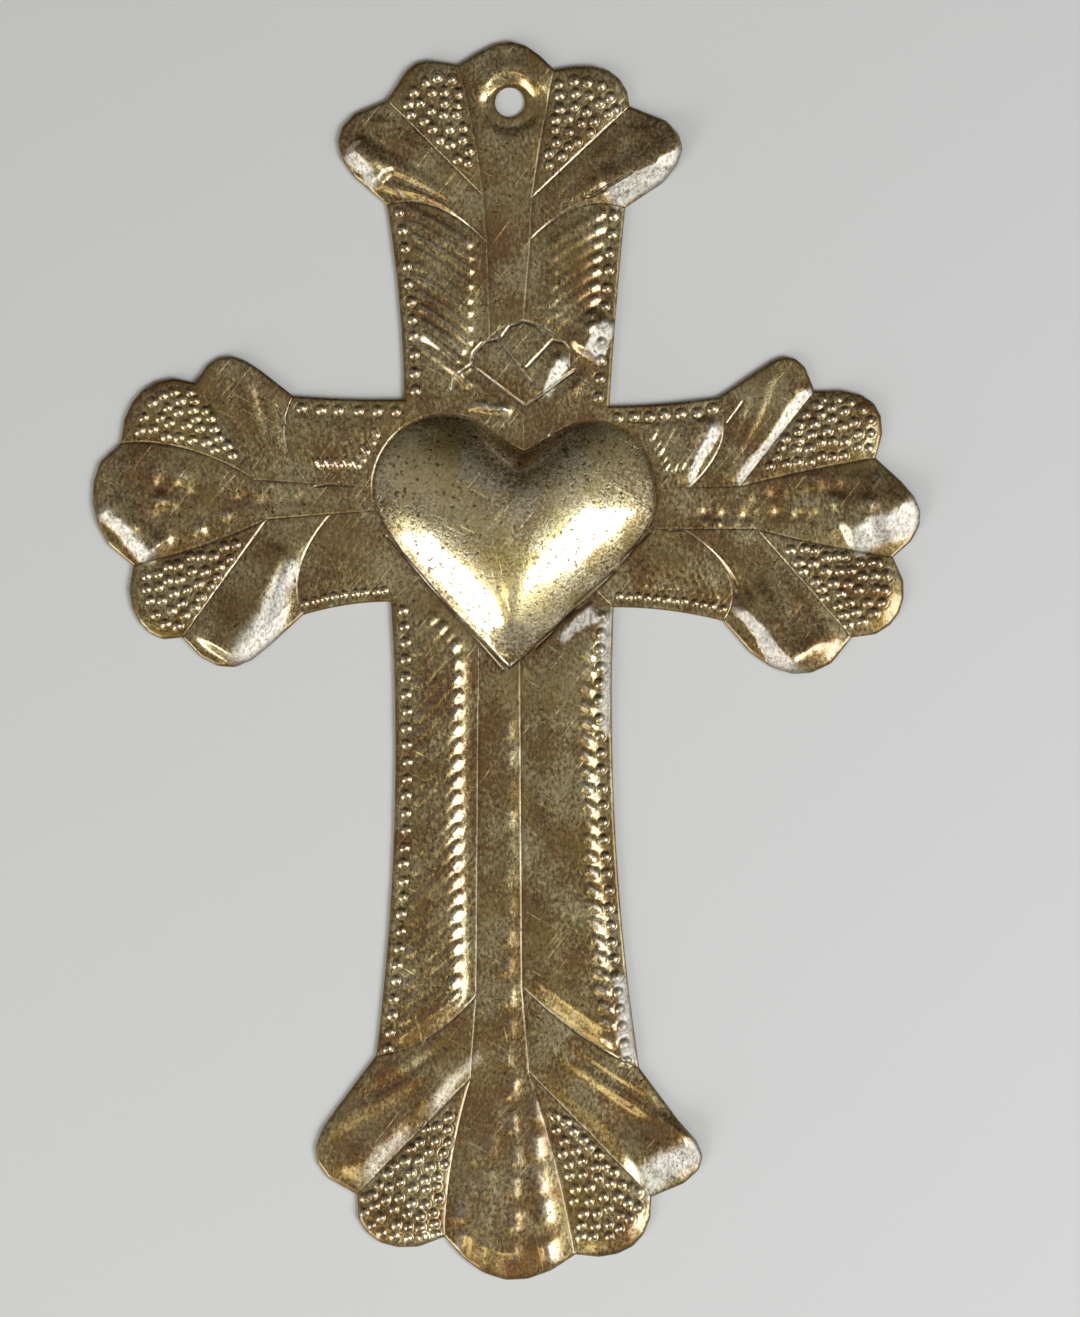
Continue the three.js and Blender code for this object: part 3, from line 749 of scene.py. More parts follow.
@dataclass
class Heart:
    """Domed heart over the crossing, with the chisel strokes round it."""

    dip: Spot = (3.1, 9.6)
    tip: Spot = (0.4, -30.1)
    left: HeartSide = HeartSide(11.7, 16.5, 24.8, 2.8, 9.0)
    right: HeartSide = HeartSide(17.0, 15.4, 27.4, 0.4, 8.0)
    rise: float = 8.5
    steepness: float = 2.15
    tip_fade: float = 8.5
    quarter_round: float = 0.55
    dip_run: float = 0.45
    tip_run: float = 0.35
    rust_spread: float = 2.4
    rust_amount: float = 0.7
    rings: int = 80
    around: int = 520
    centres: tuple[Spot, ...] = (
        (0.0, 0.0), (-5.0, -1.0), (5.5, -1.5), (-2.5, -7.0), (3.0, -7.0), (0.5, -12.0),
    )
    strokes: tuple[Stroke, ...] = (
        Stroke(((26.2, -5.3), (21.1, -10.4)), 0.45, 0.4, 1.0, 0.0),
        Stroke(((19.6, -12.6), (12.7, -18.5)), 0.45, 0.4, 1.0, 0.0),
        Stroke(((12.5, -19.6), (5.4, -26.5)), 0.45, 0.4, 1.0, 0.0),
        Stroke(((-22.1, -5.9), (-0.9, -30.6)), 0.3, 0.4, 0.6, 0.5),
        Stroke(((7.9, 12.7), (16.6, 15.1)), 0.2, 0.4),
    )

    def __post_init__(self) -> None:
        """Draws the outline once."""
        self.outline = joined(self._side(-1.0, self.left), self._side(1.0, self.right)[::-1])[:-1]

    def _side(self, sign: float, side: HeartSide) -> Points:
        """Side of the outline, from the dip over the crown and the widest point to the tip, as three curves.

        Args:
            sign: -1 for the left side and 1 for the right.
            side: Sizes of the side.

        Returns:
            Points of three cubic curves, end to end.
        """
        dip, tip = np.array(self.dip), np.array(self.tip)
        crown = np.array([sign * side.crown_out, side.crown_height])
        wide = np.array([sign * side.side_out, side.side_height])
        cheek = wide - [0.0, side.cheek_drop]
        over_crown = np.array([(dip[0] + crown[0]) / 2.0, crown[1]])
        leaving = np.array([crown[0] + self.quarter_round * (wide[0] - crown[0]), crown[1]])
        meeting = np.array([wide[0], wide[1] + self.quarter_round * (crown[1] - wide[1])])
        return joined(
            self._cubic(dip, dip + self.dip_run * (crown - dip), over_crown, crown),
            self._cubic(crown, leaving, meeting, wide),
            self._cubic(wide, cheek, tip + self.tip_run * (cheek - tip), tip),
        )

    @staticmethod
    def _cubic(a: Points, b: Points, c: Points, d: Points) -> Points:
        """Cubic curve between two points.

        Args:
            a: First point.
            b: Point towards which it leaves.
            c: Point from which it arrives.
            d: Last point.

        Returns:
            The points s^3 a + 3 s^2 t b + 3 s t^2 c + t^3 d, with s = 1 - t.
        """
        t = np.linspace(0.0, 1.0, CURVE_STEPS + 1)[:, None]
        s = 1.0 - t
        return s**3 * a + 3.0 * s**2 * t * b + 3.0 * s * t**2 * c + t**3 * d

    def radius(self, angle: np.ndarray, centre: Spot = (0.0, 0.0)) -> np.ndarray:
        """Distance from a centre to the outline.

        Args:
            angle: Directions in radians.
            centre: Spot inside the heart from which the whole outline is seen.

        Returns:
            The distances, read between the outline's points by their direction.
        """
        seen = self.outline - centre
        return np.interp(angle, np.arctan2(seen[:, 1], seen[:, 0]), np.hypot(*seen.T), period=2.0 * np.pi)

    def edge(self, angle: np.ndarray, land: float = 0.0) -> Points:
        """Points on the outline in the given directions from the crossing, or beyond it by the land."""
        reach = self.radius(np.asarray(angle)) + land
        return np.stack([reach * np.cos(angle), reach * np.sin(angle)], axis=-1)

    def dome(self, plan: np.ndarray) -> np.ndarray:
        """Height of the dome: the mean of round domes about several centres, easing down at the tip.

        Args:
            plan: Points inside the outline.

        Returns:
            The rise times the mean of 1 less a power of t, t being the share of the way to the outline.
        """
        summed = np.zeros(plan.shape[:-1])
        for centre in self.centres:
            away = plan - centre
            angle = np.arctan2(away[..., 1], away[..., 0])
            share = np.hypot(away[..., 0], away[..., 1]) / self.radius(angle, centre)
            summed += np.clip(1.0 - share**self.steepness, 0.0, 1.0)
        tip = ease((np.hypot(*np.moveaxis(plan - self.tip, -1, 0))) / self.tip_fade)
        return self.rise * tip * summed / len(self.centres)

    def mark(self, marks: ToolMarks) -> None:
        """Chases the outline and the loose strokes round it, and lets rust creep along it.

        Args:
            marks: Layers to mark.
        """
        closed = np.concatenate([self.outline[::LINE_STRIDE], self.outline[:1]])
        marks.chase(closed, *HEART_GROOVE)
        marks.stain(closed, self.rust_spread, self.rust_amount)
        for stroke in self.strokes:
            stroke.chase(marks)

    def build(self, shop: Workshop) -> None:
        """Rings from the crossing out to the outline, closer together towards it.

        Args:
            shop: Workshop that makes the piece.
        """
        angles = np.linspace(-np.pi, np.pi, self.around + 1)
        share = np.sin(np.linspace(0.0, 0.5 * np.pi, self.rings + 1))[:, None, None]
        plan = share * self.edge(angles)[None]
        grid = SheetGrid(plan, self.dome(plan), ring=True)
        shop.dress(shop.piece("heart", grid), "heart", Slot.HEART)


def petal_stroke(*spots: Spot) -> Stroke:
    """Bold stroke of the flame's petals."""
    return Stroke(spots, depth=0.2, width=0.44, tarnish=0.4, shine=1.0)


@dataclass
class Flame:
    """Low flame over the heart's dip, with three petals chased into it."""

    heart: Heart
    foot_height: float = 8.5
    spread: Spot = (9.5, 15.3)
    petal: Spot = (9.2, 18.2)
    shoulder: Spot = (6.2, 21.3)
    tip_height: float = 24.1
    rise: float = 0.5
    rings: int = 90
    stem_steps: int = 36
    lower_steps: tuple[int, int, int] = (48, 12, 20)
    upper_steps: int = 28
    strokes: tuple[Stroke, ...] = (
        petal_stroke((-1.5, 30.3), (4.4, 22.5)),
        petal_stroke((8.5, 30.3), (3.7, 25.3)),
        petal_stroke((-6.7, 25.7), (3.1, 18.3)),
        petal_stroke((12.4, 24.6), (3.7, 18.3)),
        petal_stroke((-0.9, 30.9), (0.5, 32.9), (3.0, 33.8), (5.4, 33.1), (6.8, 31.2)),
        petal_stroke((-6.5, 25.9), (-6.3, 27.9), (-4.6, 29.8), (-1.7, 30.5)),
        petal_stroke((8.5, 30.3), (10.5, 29.8), (11.6, 27.9), (11.5, 25.1)),
        Stroke(((-10.2, 21.1), (-9.8, 23.5), (-8.3, 24.6), (-6.7, 25.7)), 0.14, 0.36),
        Stroke(((12.9, 23.5), (14.8, 22.5), (15.7, 21.6)), 0.14, 0.36),
    )

    def __post_init__(self) -> None:
        """Draws the lines from the dip to the foot and up both sides to the tip."""
        self.foot = self._at(0.0, self.foot_height)
        self.tip = self._at(0.0, self.tip_height)
        self.stem = straight(np.array(self.heart.dip), self.foot, self.stem_steps)
        self.lower = {sign: self._lower(sign) for sign in (-1.0, 1.0)}
        self.upper = {sign: self._upper(sign) for sign in (-1.0, 1.0)}

    def _at(self, out: float, height: float) -> Points:
        """Spot beside and above the heart's dip."""
        return np.array(self.heart.dip) + [out, height]

    def _lower(self, sign: float) -> Points:
        """Side of the flame from its foot to its shoulder.

        Args:
            sign: -1 for the left side and 1 for the right.

        Returns:
            Points of the straight cuts from the foot over the spread and the petal to the shoulder.
        """
        spots = self.spread, self.petal, self.shoulder
        knots = [self.foot, *(self._at(sign * out, height) for out, height in spots)]
        return joined(*(straight(a, b, n) for a, b, n in zip(knots, knots[1:], self.lower_steps)))

    def _upper(self, sign: float) -> Points:
        """Round top of the flame.

        Args:
            sign: -1 for the left side and 1 for the right.

        Returns:
            Points of the line from the shoulder to the tip.
        """
        out, height = self.shoulder
        shoulder, over = self._at(sign * out, height), self._at(sign * out / 2.0, self.tip_height)
        return bent(shoulder, over, self.tip, self.upper_steps)

    def lead(self, sign: float) -> Points:
        """Line from the dip round the flame to where the arm's spine line starts on that side."""
        way = joined(self.stem, self.lower[sign])
        return joined(way, self.upper[sign]) if sign > 0.0 else way

    def mark(self, marks: ToolMarks) -> None:
        """Chases the petals."""
        for stroke in self.strokes:
            stroke.chase(marks)

    def build(self, shop: Workshop) -> None:
        """Rings from the middle out to the outline, with a swell of rise times (1 - t squared).

        Args:
            shop: Workshop that makes the piece.
        """
        ring = joined(self.lower[-1.0], self.upper[-1.0], self.upper[1.0][::-1], self.lower[1.0][::-1])
        share = np.linspace(0.0, 1.0, self.rings + 1)[:, None, None]
        plan = (self.foot + self.tip) / 2.0 * (1.0 - share) + share * ring[None]
        swell = np.broadcast_to(self.rise * (1.0 - share[..., 0] ** 2), plan.shape[:2])
        shop.dress(shop.piece("flame", SheetGrid(plan, swell, ring=True)), "flame", Slot.SHEET)


@dataclass(frozen=True)
class LobeEdge:
    """Edge of a lobe.

    It gives the reach over the chord, where the crown lies along it, and the fullness, lower being squarer.
    """

    reach: float
    crown: float
    fullness: float

    def draw(self, start: Points, end: Points, outwards: Points, steps: int) -> Points:
        """Chisel-cut edge from one notch to the next.

        Args:
            start: First notch.
            end: Last notch.
            outwards: Direction to which the lobe reaches.
            steps: Number of steps.

        Returns:
            Straight cuts between points of an arch over the chord, with their corners slightly worn.
        """
        chord = end - start
        normal = np.array([-chord[1], chord[0]]) / np.hypot(*chord)
        normal = normal * np.sign(normal @ outwards)
        t = np.linspace(0.0, 1.0, EDGE_CUTS + 1)[:, None]
        lean = math.log(0.5) / math.log(self.crown)
        cuts = start + chord * t ** (1.0 / lean) + normal * self.reach * arch(t) ** self.fullness
        return softened(evenly(cuts, steps), EDGE_WEAR)


@dataclass(frozen=True)
class Corner:
    """Inner corner between two arms: its direction in degrees, and the land beyond the heart's outline."""

    direction: float
    land: float


TOP_LEFT_CORNER = Corner(134.5, 4.9)
TOP_RIGHT_CORNER = Corner(43.9, 4.0)
BOTTOM_LEFT_CORNER = Corner(220.0, 7.2)
BOTTOM_RIGHT_CORNER = Corner(-44.1, 4.5)


@dataclass(frozen=True)
class Beading:
    """Beads and ribs of a half-arm.

    It gives their pitches, where the ribs start along the edge, how far each sweeps back, its heights at the
    outer end, along it and at the inner end, and the chased share of the leaf's line.
    """

    border_pitch: float
    rib_pitch: float
    rib_start: float
    rib_sweep: float
    rib_heights: tuple[float, float, float]
    leaf_line_chased: float
    lobe_pitch: float = 2.6


@dataclass(frozen=True)
class Hand:
    """How unevenly the maker strikes: the scatter of the places, and the ranges of sizes and strengths."""

    border_scatter: float = 0.1
    border_sizes: Spot = (0.92, 1.06)
    rib_scatter: float = 0.12
    rib_strengths: Spot = (0.8, 1.2)
    lobe_scatter: float = 0.17
    lobe_sizes: Spot = (0.85, 1.08)
    lobe_strengths: Spot = (0.8, 1.1)
    bump_scatter: float = 0.3
    bump_strengths: Spot = (0.75, 1.15)


HAND = Hand()


@dataclass
class HalfArm:
    """Half of an arm beside its spine: a ribbed panel, a plain leaf and a beaded lobe.

    Lengths run outwards along the arm, one after the other, and half-widths lie across it. Side is 1 where
    the half lies anticlockwise of the arm's axis, and -1 where it lies clockwise.
    """

    name: str
    arm: Arm
    side: float
    corner: Corner
    spine_half_width: float
    edge_length: float
    waist: float
    neck: float
    leaf_notch_length: float
    leaf_notch: float
    lobe_notch_length: float
    lobe_notch: float
    leaf_root_length: float
    leaf_root: float
    lobe_root_length: float
    lobe_root: float
    leaf_line_bow: float
    spine_bow: float
    leaf: LobeEdge
    lobe: LobeEdge
    beading: Beading
    strokes: tuple[Stroke, ...] = ()
    panel_rise: float = 0.8
    panel_fall: float = 5.0
    heart_fall: float = 9.0
    heart_strip: float = 0.5
    spine_strip: float = 1.2
    border_blend: float = 0.6
    leaf_slope: float = 0.11
    leaf_root_fall: float = 10.0
    leaf_fold: float = 4.0
    lobe_slope: float = 0.16
    lobe_fold: float = 3.0
    flutes: int = 3
    flute_height: float = 0.17
    flute_run: float = 0.6
    border_inset: float = 2.1
    border_crowding: float = 0.42
    rib_outer: float = 4.2
    rib_inner: float = 3.4
    rib_bow: float = 0.6
    rib_clearance: float = 1.6
    rib_margin: float = 0.5
    rib_end: int = 3
    rib_least: int = 5
    bead_radius: float = 1.0
    bead_height: float = 0.46
    lobe_rows_from: float = 0.24
    lobe_rows_margin: float = 1.6
    lobe_row_pitch: float = 0.94
    lobe_row_margins: float = 2.8
    lobe_line_chased: float = 0.86
    spine_line_from: float = 0.0
    edge_lean: float = 1.0
    panel_hold: float = 1.0

    def spot(self, out: float, across: float) -> Points:
        """Plan point at a length along the arm and a distance across it."""
        return out * self.arm.axis + across * self.across

    @property
    def across(self) -> Points:
        """Unit vector across the arm, towards this half."""
        return self.side * np.array([-self.arm.axis[1], self.arm.axis[0]])

    def draw(self, heart: Heart, flame: Flame, inner_steps: int) -> None:
        """Draws every line of the half-arm.

        Args:
            heart: Heart that the panel starts on.
            flame: Flame that the top panels run round.
            inner_steps: Steps of the spine line from the heart to the leaf's root.
        """
        axis = math.radians(self.arm.value)
        corner = math.radians(self.corner.direction)
        inner_corner = heart.edge(corner, self.corner.land)
        if self.arm is Arm.TOP:
            meets = math.atan2(heart.dip[1], heart.dip[0])
        else:
            meets = self._spine_meets(heart, axis)
        corner = axis + math.remainder(corner - axis, 2.0 * math.pi)
        meets = axis + math.remainder(meets - axis, 2.0 * math.pi)
        self.heart_angle = meets
        stretch = heart.edge(np.linspace(corner, meets, LINE_STEPS - SEAM_STEPS + 1))
        self.south = joined(straight(inner_corner, stretch[0], SEAM_STEPS), stretch)
        lead = flame.lead(-self.side) if self.arm is Arm.TOP else stretch[-1:]

        start_out = lead[-1] @ self.arm.axis
        leaf_root_out = start_out + self.leaf_root_length
        lobe_root_out = leaf_root_out + self.lobe_root_length
        corner_out = inner_corner @ self.arm.axis
        self.neck_out = corner_out + self.edge_length
        leaf_notch_out = self.neck_out + self.leaf_notch_length
        lobe_notch_out = leaf_notch_out + self.lobe_notch_length
        leaf_root = self.spot(leaf_root_out, self.leaf_root)
        lobe_root = self.spot(lobe_root_out, self.lobe_root)
        neck = self.spot(self.neck_out, self.neck)
        leaf_notch = self.spot(leaf_notch_out, self.leaf_notch)
        lobe_notch = self.spot(lobe_notch_out, self.lobe_notch)

        bow = (neck + leaf_root) / 2.0 + 2.0 * self.leaf_line_bow * self.arm.axis
        flare = self.lobe_root + self.spine_bow * (self.lobe_notch - self.lobe_root)
        waist = self.spot((corner_out + self.neck_out) / 2.0, self.waist)
        flared = self.spot((lobe_root_out + lobe_notch_out) / 2.0, flare)
        self.spine_inner = straight(lead[-1], leaf_root, inner_steps)
        self.spine_middle = straight(leaf_root, lobe_root, LEAF_STEPS)
        self.spine_outer = evenly(bent(lobe_root, flared, lobe_notch, LINE_STEPS), LINE_STEPS)
        self.panel_spine = joined(lead, self.spine_inner)
        panel_steps = len(self.panel_spine) - 1
        self.panel_edge = evenly(bent(inner_corner, waist, neck, LINE_STEPS), panel_steps, self.edge_lean)
        self.leaf_line = evenly(bent(neck, bow, leaf_root, LINE_STEPS), LINE_STEPS)
        self.lobe_line = straight(lobe_root, leaf_notch, LINE_STEPS)
        self.leaf_edge = self.leaf.draw(neck, leaf_notch, self.across, LEAF_STEPS)
        self.lobe_edge = self.lobe.draw(leaf_notch, lobe_notch, self.arm.axis, LOBE_STEPS)

    def _spine_meets(self, heart: Heart, axis: float) -> float:
        """Direction in which the spine's side line meets the heart.

        Args:
            heart: Heart that it meets.
            axis: Direction of the arm in radians.

        Returns:
            The direction in radians, found by repeated correction.
        """
        off = 0.0
        for _ in range(SPINE_PASSES):
            off = math.asin(self.spine_half_width / float(heart.radius(np.array(axis + self.side * off))))
        return axis + self.side * off

    def spine_line(self) -> Points:
        """Line between this half and the spine, from the heart or the flame to the lobe's notch."""
        return joined(self.spine_inner, self.spine_middle, self.spine_outer)

    def edges(self) -> tuple[Points, ...]:
        """Lines of this half that lie on the outline of the sheet."""
        return self.panel_edge, self.leaf_edge, self.lobe_edge

    def panel(self) -> SheetGrid:
        """Ribbed panel.

        Returns:
            A raised middle that eases down to a flat border, a flat strip along the spine, and both ends.
        """
        plan = patch(self.panel_edge, self.panel_spine, self.south, self.leaf_line, self.panel_hold)
        west, east, south, north = edge_distances(plan)
        border = ease((west - FLAT_BORDER + self.border_blend) / self.panel_fall)
        middle = border * ease((east - self.spine_strip) / self.panel_fall)
        ends = ease((south - self.heart_strip) / self.heart_fall) * ease(north / self.panel_fall)
        return SheetGrid(plan, self.panel_rise * middle * ends)

    def leaf_grid(self) -> SheetGrid:
        """Plain leaf.

        Returns:
            A low ridge with soft flutes along it, cosine waves across it, bent down along the outer edge.
        """
        plan = patch(self.leaf_line[::-1], self.lobe_line, self.spine_middle, self.leaf_edge)
        u, v = shares(plan)
        waves = np.cos(2.0 * np.pi * self.flutes * v)
        flutes = -self.flute_height * waves * arch(v) * ease(u / self.flute_run)
        root = ease(edge_distances(plan)[2] / self.leaf_root_fall)
        height = (ridged(plan, self.leaf_slope) + flutes) * root
        return SheetGrid(plan, height * folded(plan, self.leaf_fold))

    def lobe_grid(self) -> SheetGrid:
        """Beaded lobe.

        Returns:
            A low ridged wedge that starts in a point on the spine, bent down along the outer edge.
        """
        root = np.repeat(self.lobe_line[:1], LOBE_STEPS + 1, axis=0)
        plan = patch(self.lobe_line, self.spine_outer, root, self.lobe_edge)
        return SheetGrid(plan, ridged(plan, self.lobe_slope) * folded(plan, self.lobe_fold))

    def mark(self, marks: ToolMarks, rng: np.random.Generator) -> None:
        """Leaves every tool mark of the half-arm on the sheet.

        Args:
            marks: Layers to mark.
            rng: Seeded source of the small differences between one blow and the next.
        """
        leaf_from = round(LINE_STEPS * (1.0 - self.beading.leaf_line_chased))
        lobe_to = round(self.lobe_line_chased * LINE_STEPS)
        marks.chase(self.leaf_line[leaf_from::LINE_STRIDE], *LEAF_GROOVE)
        marks.chase(self.lobe_line[:lobe_to:LINE_STRIDE], *LOBE_GROOVE)
        spine_line = self.spine_line()
        spine_line = spine_line[lengths(spine_line) >= self.spine_line_from]
        marks.chase(spine_line[::SPINE_STRIDE], *SPINE_GROOVE)
        for edge in self.edges():
            marks.round_rim(edge[::EDGE_STRIDE], *EDGE_ROUNDING)
        for stroke in self.strokes:
            stroke.chase(marks)
        self._mark_border(marks, rng)
        self._mark_ribs(marks, rng)
        self._mark_lobe(marks, rng)

    def _mark_border(self, marks: ToolMarks, rng: np.random.Generator) -> None:
        """Row of beads along the flat border, an inset in from the edge.

        Args:
            marks: Layers to mark.
            rng: Seeded source of the differences between the beads.
        """
        along = np.gradient(self.panel_edge, axis=0)
        inwards = np.column_stack([-along[:, 1], along[:, 0]]) / np.hypot(*along.T)[:, None]
        inwards *= -np.sign(inwards @ self.across)[:, None]
        row = self.panel_edge + self.border_inset * inwards
        count = round(lengths(row)[-1] / self.beading.border_pitch)
        small = min(1.0, self.border_crowding * self.beading.border_pitch / self.bead_radius)
        for spot in evenly(row, 2 * count)[1::2]:
            place = spot + rng.normal(0.0, HAND.border_scatter, 2)
            radius = small * self.bead_radius * rng.uniform(*HAND.border_sizes)
            marks.bead(place, radius, small * self.bead_height)

    def _mark_ribs(self, marks: ToolMarks, rng: np.random.Generator) -> None:
        """Ribs between the border and the spine, each sweeping back towards the heart on its way in.

        Args:
            marks: Layers to mark.
            rng: Seeded source of the differences between the ribs.
        """
        edge_out, edge_across = self.panel_edge @ self.arm.axis, self.panel_edge @ self.across
        line_out, line_across = self.leaf_line @ self.arm.axis, self.leaf_line @ self.across
        spine_out, spine_across = self.panel_spine @ self.arm.axis, self.panel_spine @ self.across
        inner = self.leaf_root + self.rib_inner
        radius = 0.5 * self.beading.rib_pitch
        first = edge_out[0] + self.beading.rib_start
        for out in np.arange(first, self.neck_out, self.beading.rib_pitch):
            outer = np.interp(out, edge_out, edge_across) - self.rib_outer
            ends = self.spot(out, outer), self.spot(out - self.beading.rib_sweep, inner)
            bow = (ends[0] + ends[1]) / 2.0 + self.rib_bow * self.arm.axis
            rib = bent(ends[0], bow, ends[1], RIB_STEPS) + rng.normal(0.0, HAND.rib_scatter, 2)
            limit = np.interp(rib @ self.across, line_across[::-1], line_out[::-1])
            away = np.hypot(*rib.T) - self.heart_reach(rib)
            strip = rib @ self.across - np.interp(rib @ self.arm.axis, spine_out, spine_across)
            clear = (away > radius + self.rib_clearance) & (strip > self.rib_inner - self.rib_margin)
            kept = rib[(rib @ self.arm.axis < limit - radius) & clear]
            if len(kept) > self.rib_least:
                blow = rng.uniform(*HAND.rib_strengths)
                stretches = kept[: self.rib_end], kept, kept[-self.rib_end :]
                for stretch, height in zip(stretches, self.beading.rib_heights):
                    marks.ridge(stretch, radius, blow * height)

    def heart_reach(self, plan: Points) -> np.ndarray:
        """Distance from the crossing to where the panel starts.

        Args:
            plan: Points in the panel.

        Returns:
            The distance in the direction of each point.
        """
        angles = np.arctan2(self.south[SEAM_STEPS:, 1], self.south[SEAM_STEPS:, 0])
        reach = np.hypot(*self.south[SEAM_STEPS:].T)
        return np.interp(np.arctan2(plan[:, 1], plan[:, 0]), angles, reach, period=2.0 * np.pi)

    def _mark_lobe(self, marks: ToolMarks, rng: np.random.Generator) -> None:
        """Rows of beads across the lobe, as many in each row as its width takes.

        Args:
            marks: Layers to mark.
            rng: Seeded source of the differences between the beads.
        """
        plan = self.lobe_grid().plan
        travelled = lengths(plan[:, (plan.shape[1] - 1) // 2])
        pitch = self.beading.lobe_pitch
        first = self.lobe_rows_from * travelled[-1]
        last = travelled[-1] - self.lobe_rows_margin
        for distance in np.arange(first, last, self.lobe_row_pitch * pitch):
            row = plan[np.searchsorted(travelled, distance)]
            width = lengths(row)[-1]
            spare = width - self.lobe_row_margins
            count = int(spare / pitch) + 1 if spare > 0.0 else 0
            places = (width - pitch * (count - 1)) / 2.0 + pitch * np.arange(count)
            for place in places:
                spot = np.array([np.interp(place, lengths(row), row[:, k]) for k in (0, 1)])
                spot = spot + rng.normal(0.0, HAND.lobe_scatter, 2)
                radius = self.bead_radius * rng.uniform(*HAND.lobe_sizes)
                marks.bead(spot, radius, self.bead_height * rng.uniform(*HAND.lobe_strengths))

    def build(self, shop: Workshop) -> None:
        """Panel, leaf and beaded lobe of this half.

        Args:
            shop: Workshop that makes the pieces.
        """
        regions = ("panel", self.panel()), ("leaf", self.leaf_grid()), ("beaded_lobe", self.lobe_grid())
        for region, grid in regions:
            node = f"{self.name}_{region}"
            shop.dress(shop.piece(node, grid), node, Slot.SHEET)


@dataclass(frozen=True)
class BumpRow:
    """Row of hammered bumps between two spots: how many, how wide and high, and how far drawn out."""

    start: Spot
    end: Spot
    count: int
    radius: float
    height: float
    length: float = 0.0

    def mark(self, marks: ToolMarks, rng: np.random.Generator) -> None:
        """Hammers the bumps, each drawn out along the row by its length.

        Args:
            marks: Layers to mark.
            rng: Seeded source of the differences between the bumps.
        """
        spots = straight(np.array(self.start), np.array(self.end), max(self.count - 1, 1))[: self.count]
        along = np.subtract(self.end, self.start)
        along = along / max(np.hypot(*along), TINY) * self.length / 2.0
        for spot in spots + rng.normal(0.0, HAND.bump_scatter, spots.shape):
            height = self.height * rng.uniform(*HAND.bump_strengths)
            marks.bump(np.stack([spot - along, spot + along]), self.radius, height)


@dataclass(frozen=True)
class Bend:
    """Bent part of the sheet.

    It gives the ends of the crease, the facet's width at either end and its slope, how far the sheet eases
    down behind it, how round the crease is, how far it dies out, and how far the facet is lightened towards
    bare steel: wear, and a painted highlight where the facet faces the lamps.
    """

    start: Spot
    end: Spot
    facet: Spot
    slope: float
    back: float
    soft: float = 0.3
    fade: float = 2.0
    rub_and_sheen: float = 1.0

    def mark(self, marks: ToolMarks) -> None:
        """Bends the sheet down on the right of the way from the start to the end."""
        crease = np.array([self.start, self.end])
        marks.bend(crease, self.facet, self.slope, self.back, self.soft, self.fade, self.rub_and_sheen)


@dataclass(frozen=True)
class Stain:
    """Rust along straight lines between spots."""

    spots: tuple[Spot, ...]
    spread: float
    amount: float = 0.8

    def mark(self, marks: ToolMarks) -> None:
        """Stains the sheet."""
        marks.stain(np.array(self.spots), self.spread, self.amount)


@dataclass(frozen=True)
class NailHole:
    """Nail hole, set back from the line between the lobe's notches and shifted to the right."""

    diameter: float = 5.5
    setback: float = 6.5
    shift: float = 0.6
    sides: int = 72
    dish_spread: float = 2.6
    dish_depth: float = 1.7
    lip_reach: float = 5.2
    lip_turn: tuple[float, float] = (0.6, 2.5)
    lip_radius: float = 1.9
    lip_height: float = 0.6
    lip_points: int = 16


@dataclass
class Spine:
    """Spine of an arm with its centre lobe, between the two halves of the arm."""

    name: str
    first: HalfArm
    second: HalfArm
    centre: LobeEdge
    heart: Heart
    flame: Flame
    bumps: tuple[BumpRow, ...] = ()
    hole: NailHole | None = None
    slope: float = 0.04
    lobe_slope: float = 0.17
    lobe_fold: float = 5.0
    lobe_run: float = 0.6
    start_run: float = 0.1

    def draw(self) -> None:
        """Draws the centre lobe's edge and the line where the spine starts."""
        arm = self.first.arm
        notches = self.first.lobe_edge[-1], self.second.lobe_edge[-1]
        self.edge = self.centre.draw(*notches, arm.axis, CENTRE_STEPS)
        if arm is Arm.TOP:
            self.south = evenly(self.flame.upper[-1.0], CENTRE_STEPS)
        else:
            angles = np.linspace(self.first.heart_angle, self.second.heart_angle, CENTRE_STEPS + 1)
            self.south = self.heart.edge(angles)
        if self.hole:
            middle = (notches[0] + notches[1]) / 2.0
            self.hole_spot = middle - self.hole.setback * arm.axis + self.hole.shift * self.second.across

    def grid(self) -> SheetGrid:
        """Spine with its centre lobe.

        Returns:
            A nearly flat strip whose flanks grow steeper in the lobe, bent down along the outer edge.
        """
        west, east = self.first.spine_line(), self.second.spine_line()
        plan = patch(west, east, self.south, self.edge)
        u, _ = shares(plan)
        lobe_from = 1.0 - LINE_STEPS / (len(west) - 1)
        swell = ease((u - lobe_from) / (1.0 - lobe_from) / self.lobe_run)
        slope = self.slope + (self.lobe_slope - self.slope) * swell
        return SheetGrid(plan, ridged(plan, slope) * ease(u / self.start_run) * folded(plan, self.lobe_fold))

    def mark(self, marks: ToolMarks, rng: np.random.Generator) -> None:
        """Wears the lobe's edge, hammers the bumps and dishes the nail hole.

        Args:
            marks: Layers to mark.
            rng: Seeded source of the differences between the bumps.
        """
        marks.round_rim(self.edge[::LINE_STRIDE], *EDGE_ROUNDING)
        for row in self.bumps:
            row.mark(marks, rng)
        if self.hole:
            hole = self.hole
            marks.dish(self.hole_spot, hole.diameter / 2.0, hole.dish_spread, hole.dish_depth)
            turn = np.linspace(*hole.lip_turn, hole.lip_points)
            lip = self.hole_spot + hole.lip_reach * np.column_stack([np.cos(turn), np.sin(turn)])
            marks.bump(lip, hole.lip_radius, hole.lip_height)

    def build(self, shop: Workshop) -> None:
        """Spine of the arm, with the nail hole where it has one.

        Args:
            shop: Workshop that makes the piece.
        """
        node = f"{self.name}_spine"
        piece = shop.piece(node, self.grid())
        if self.hole:
            shop.punch(piece, self.hole_spot, self.hole.diameter / 2.0, self.hole.sides)
        shop.dress(piece, node, Slot.SHEET)


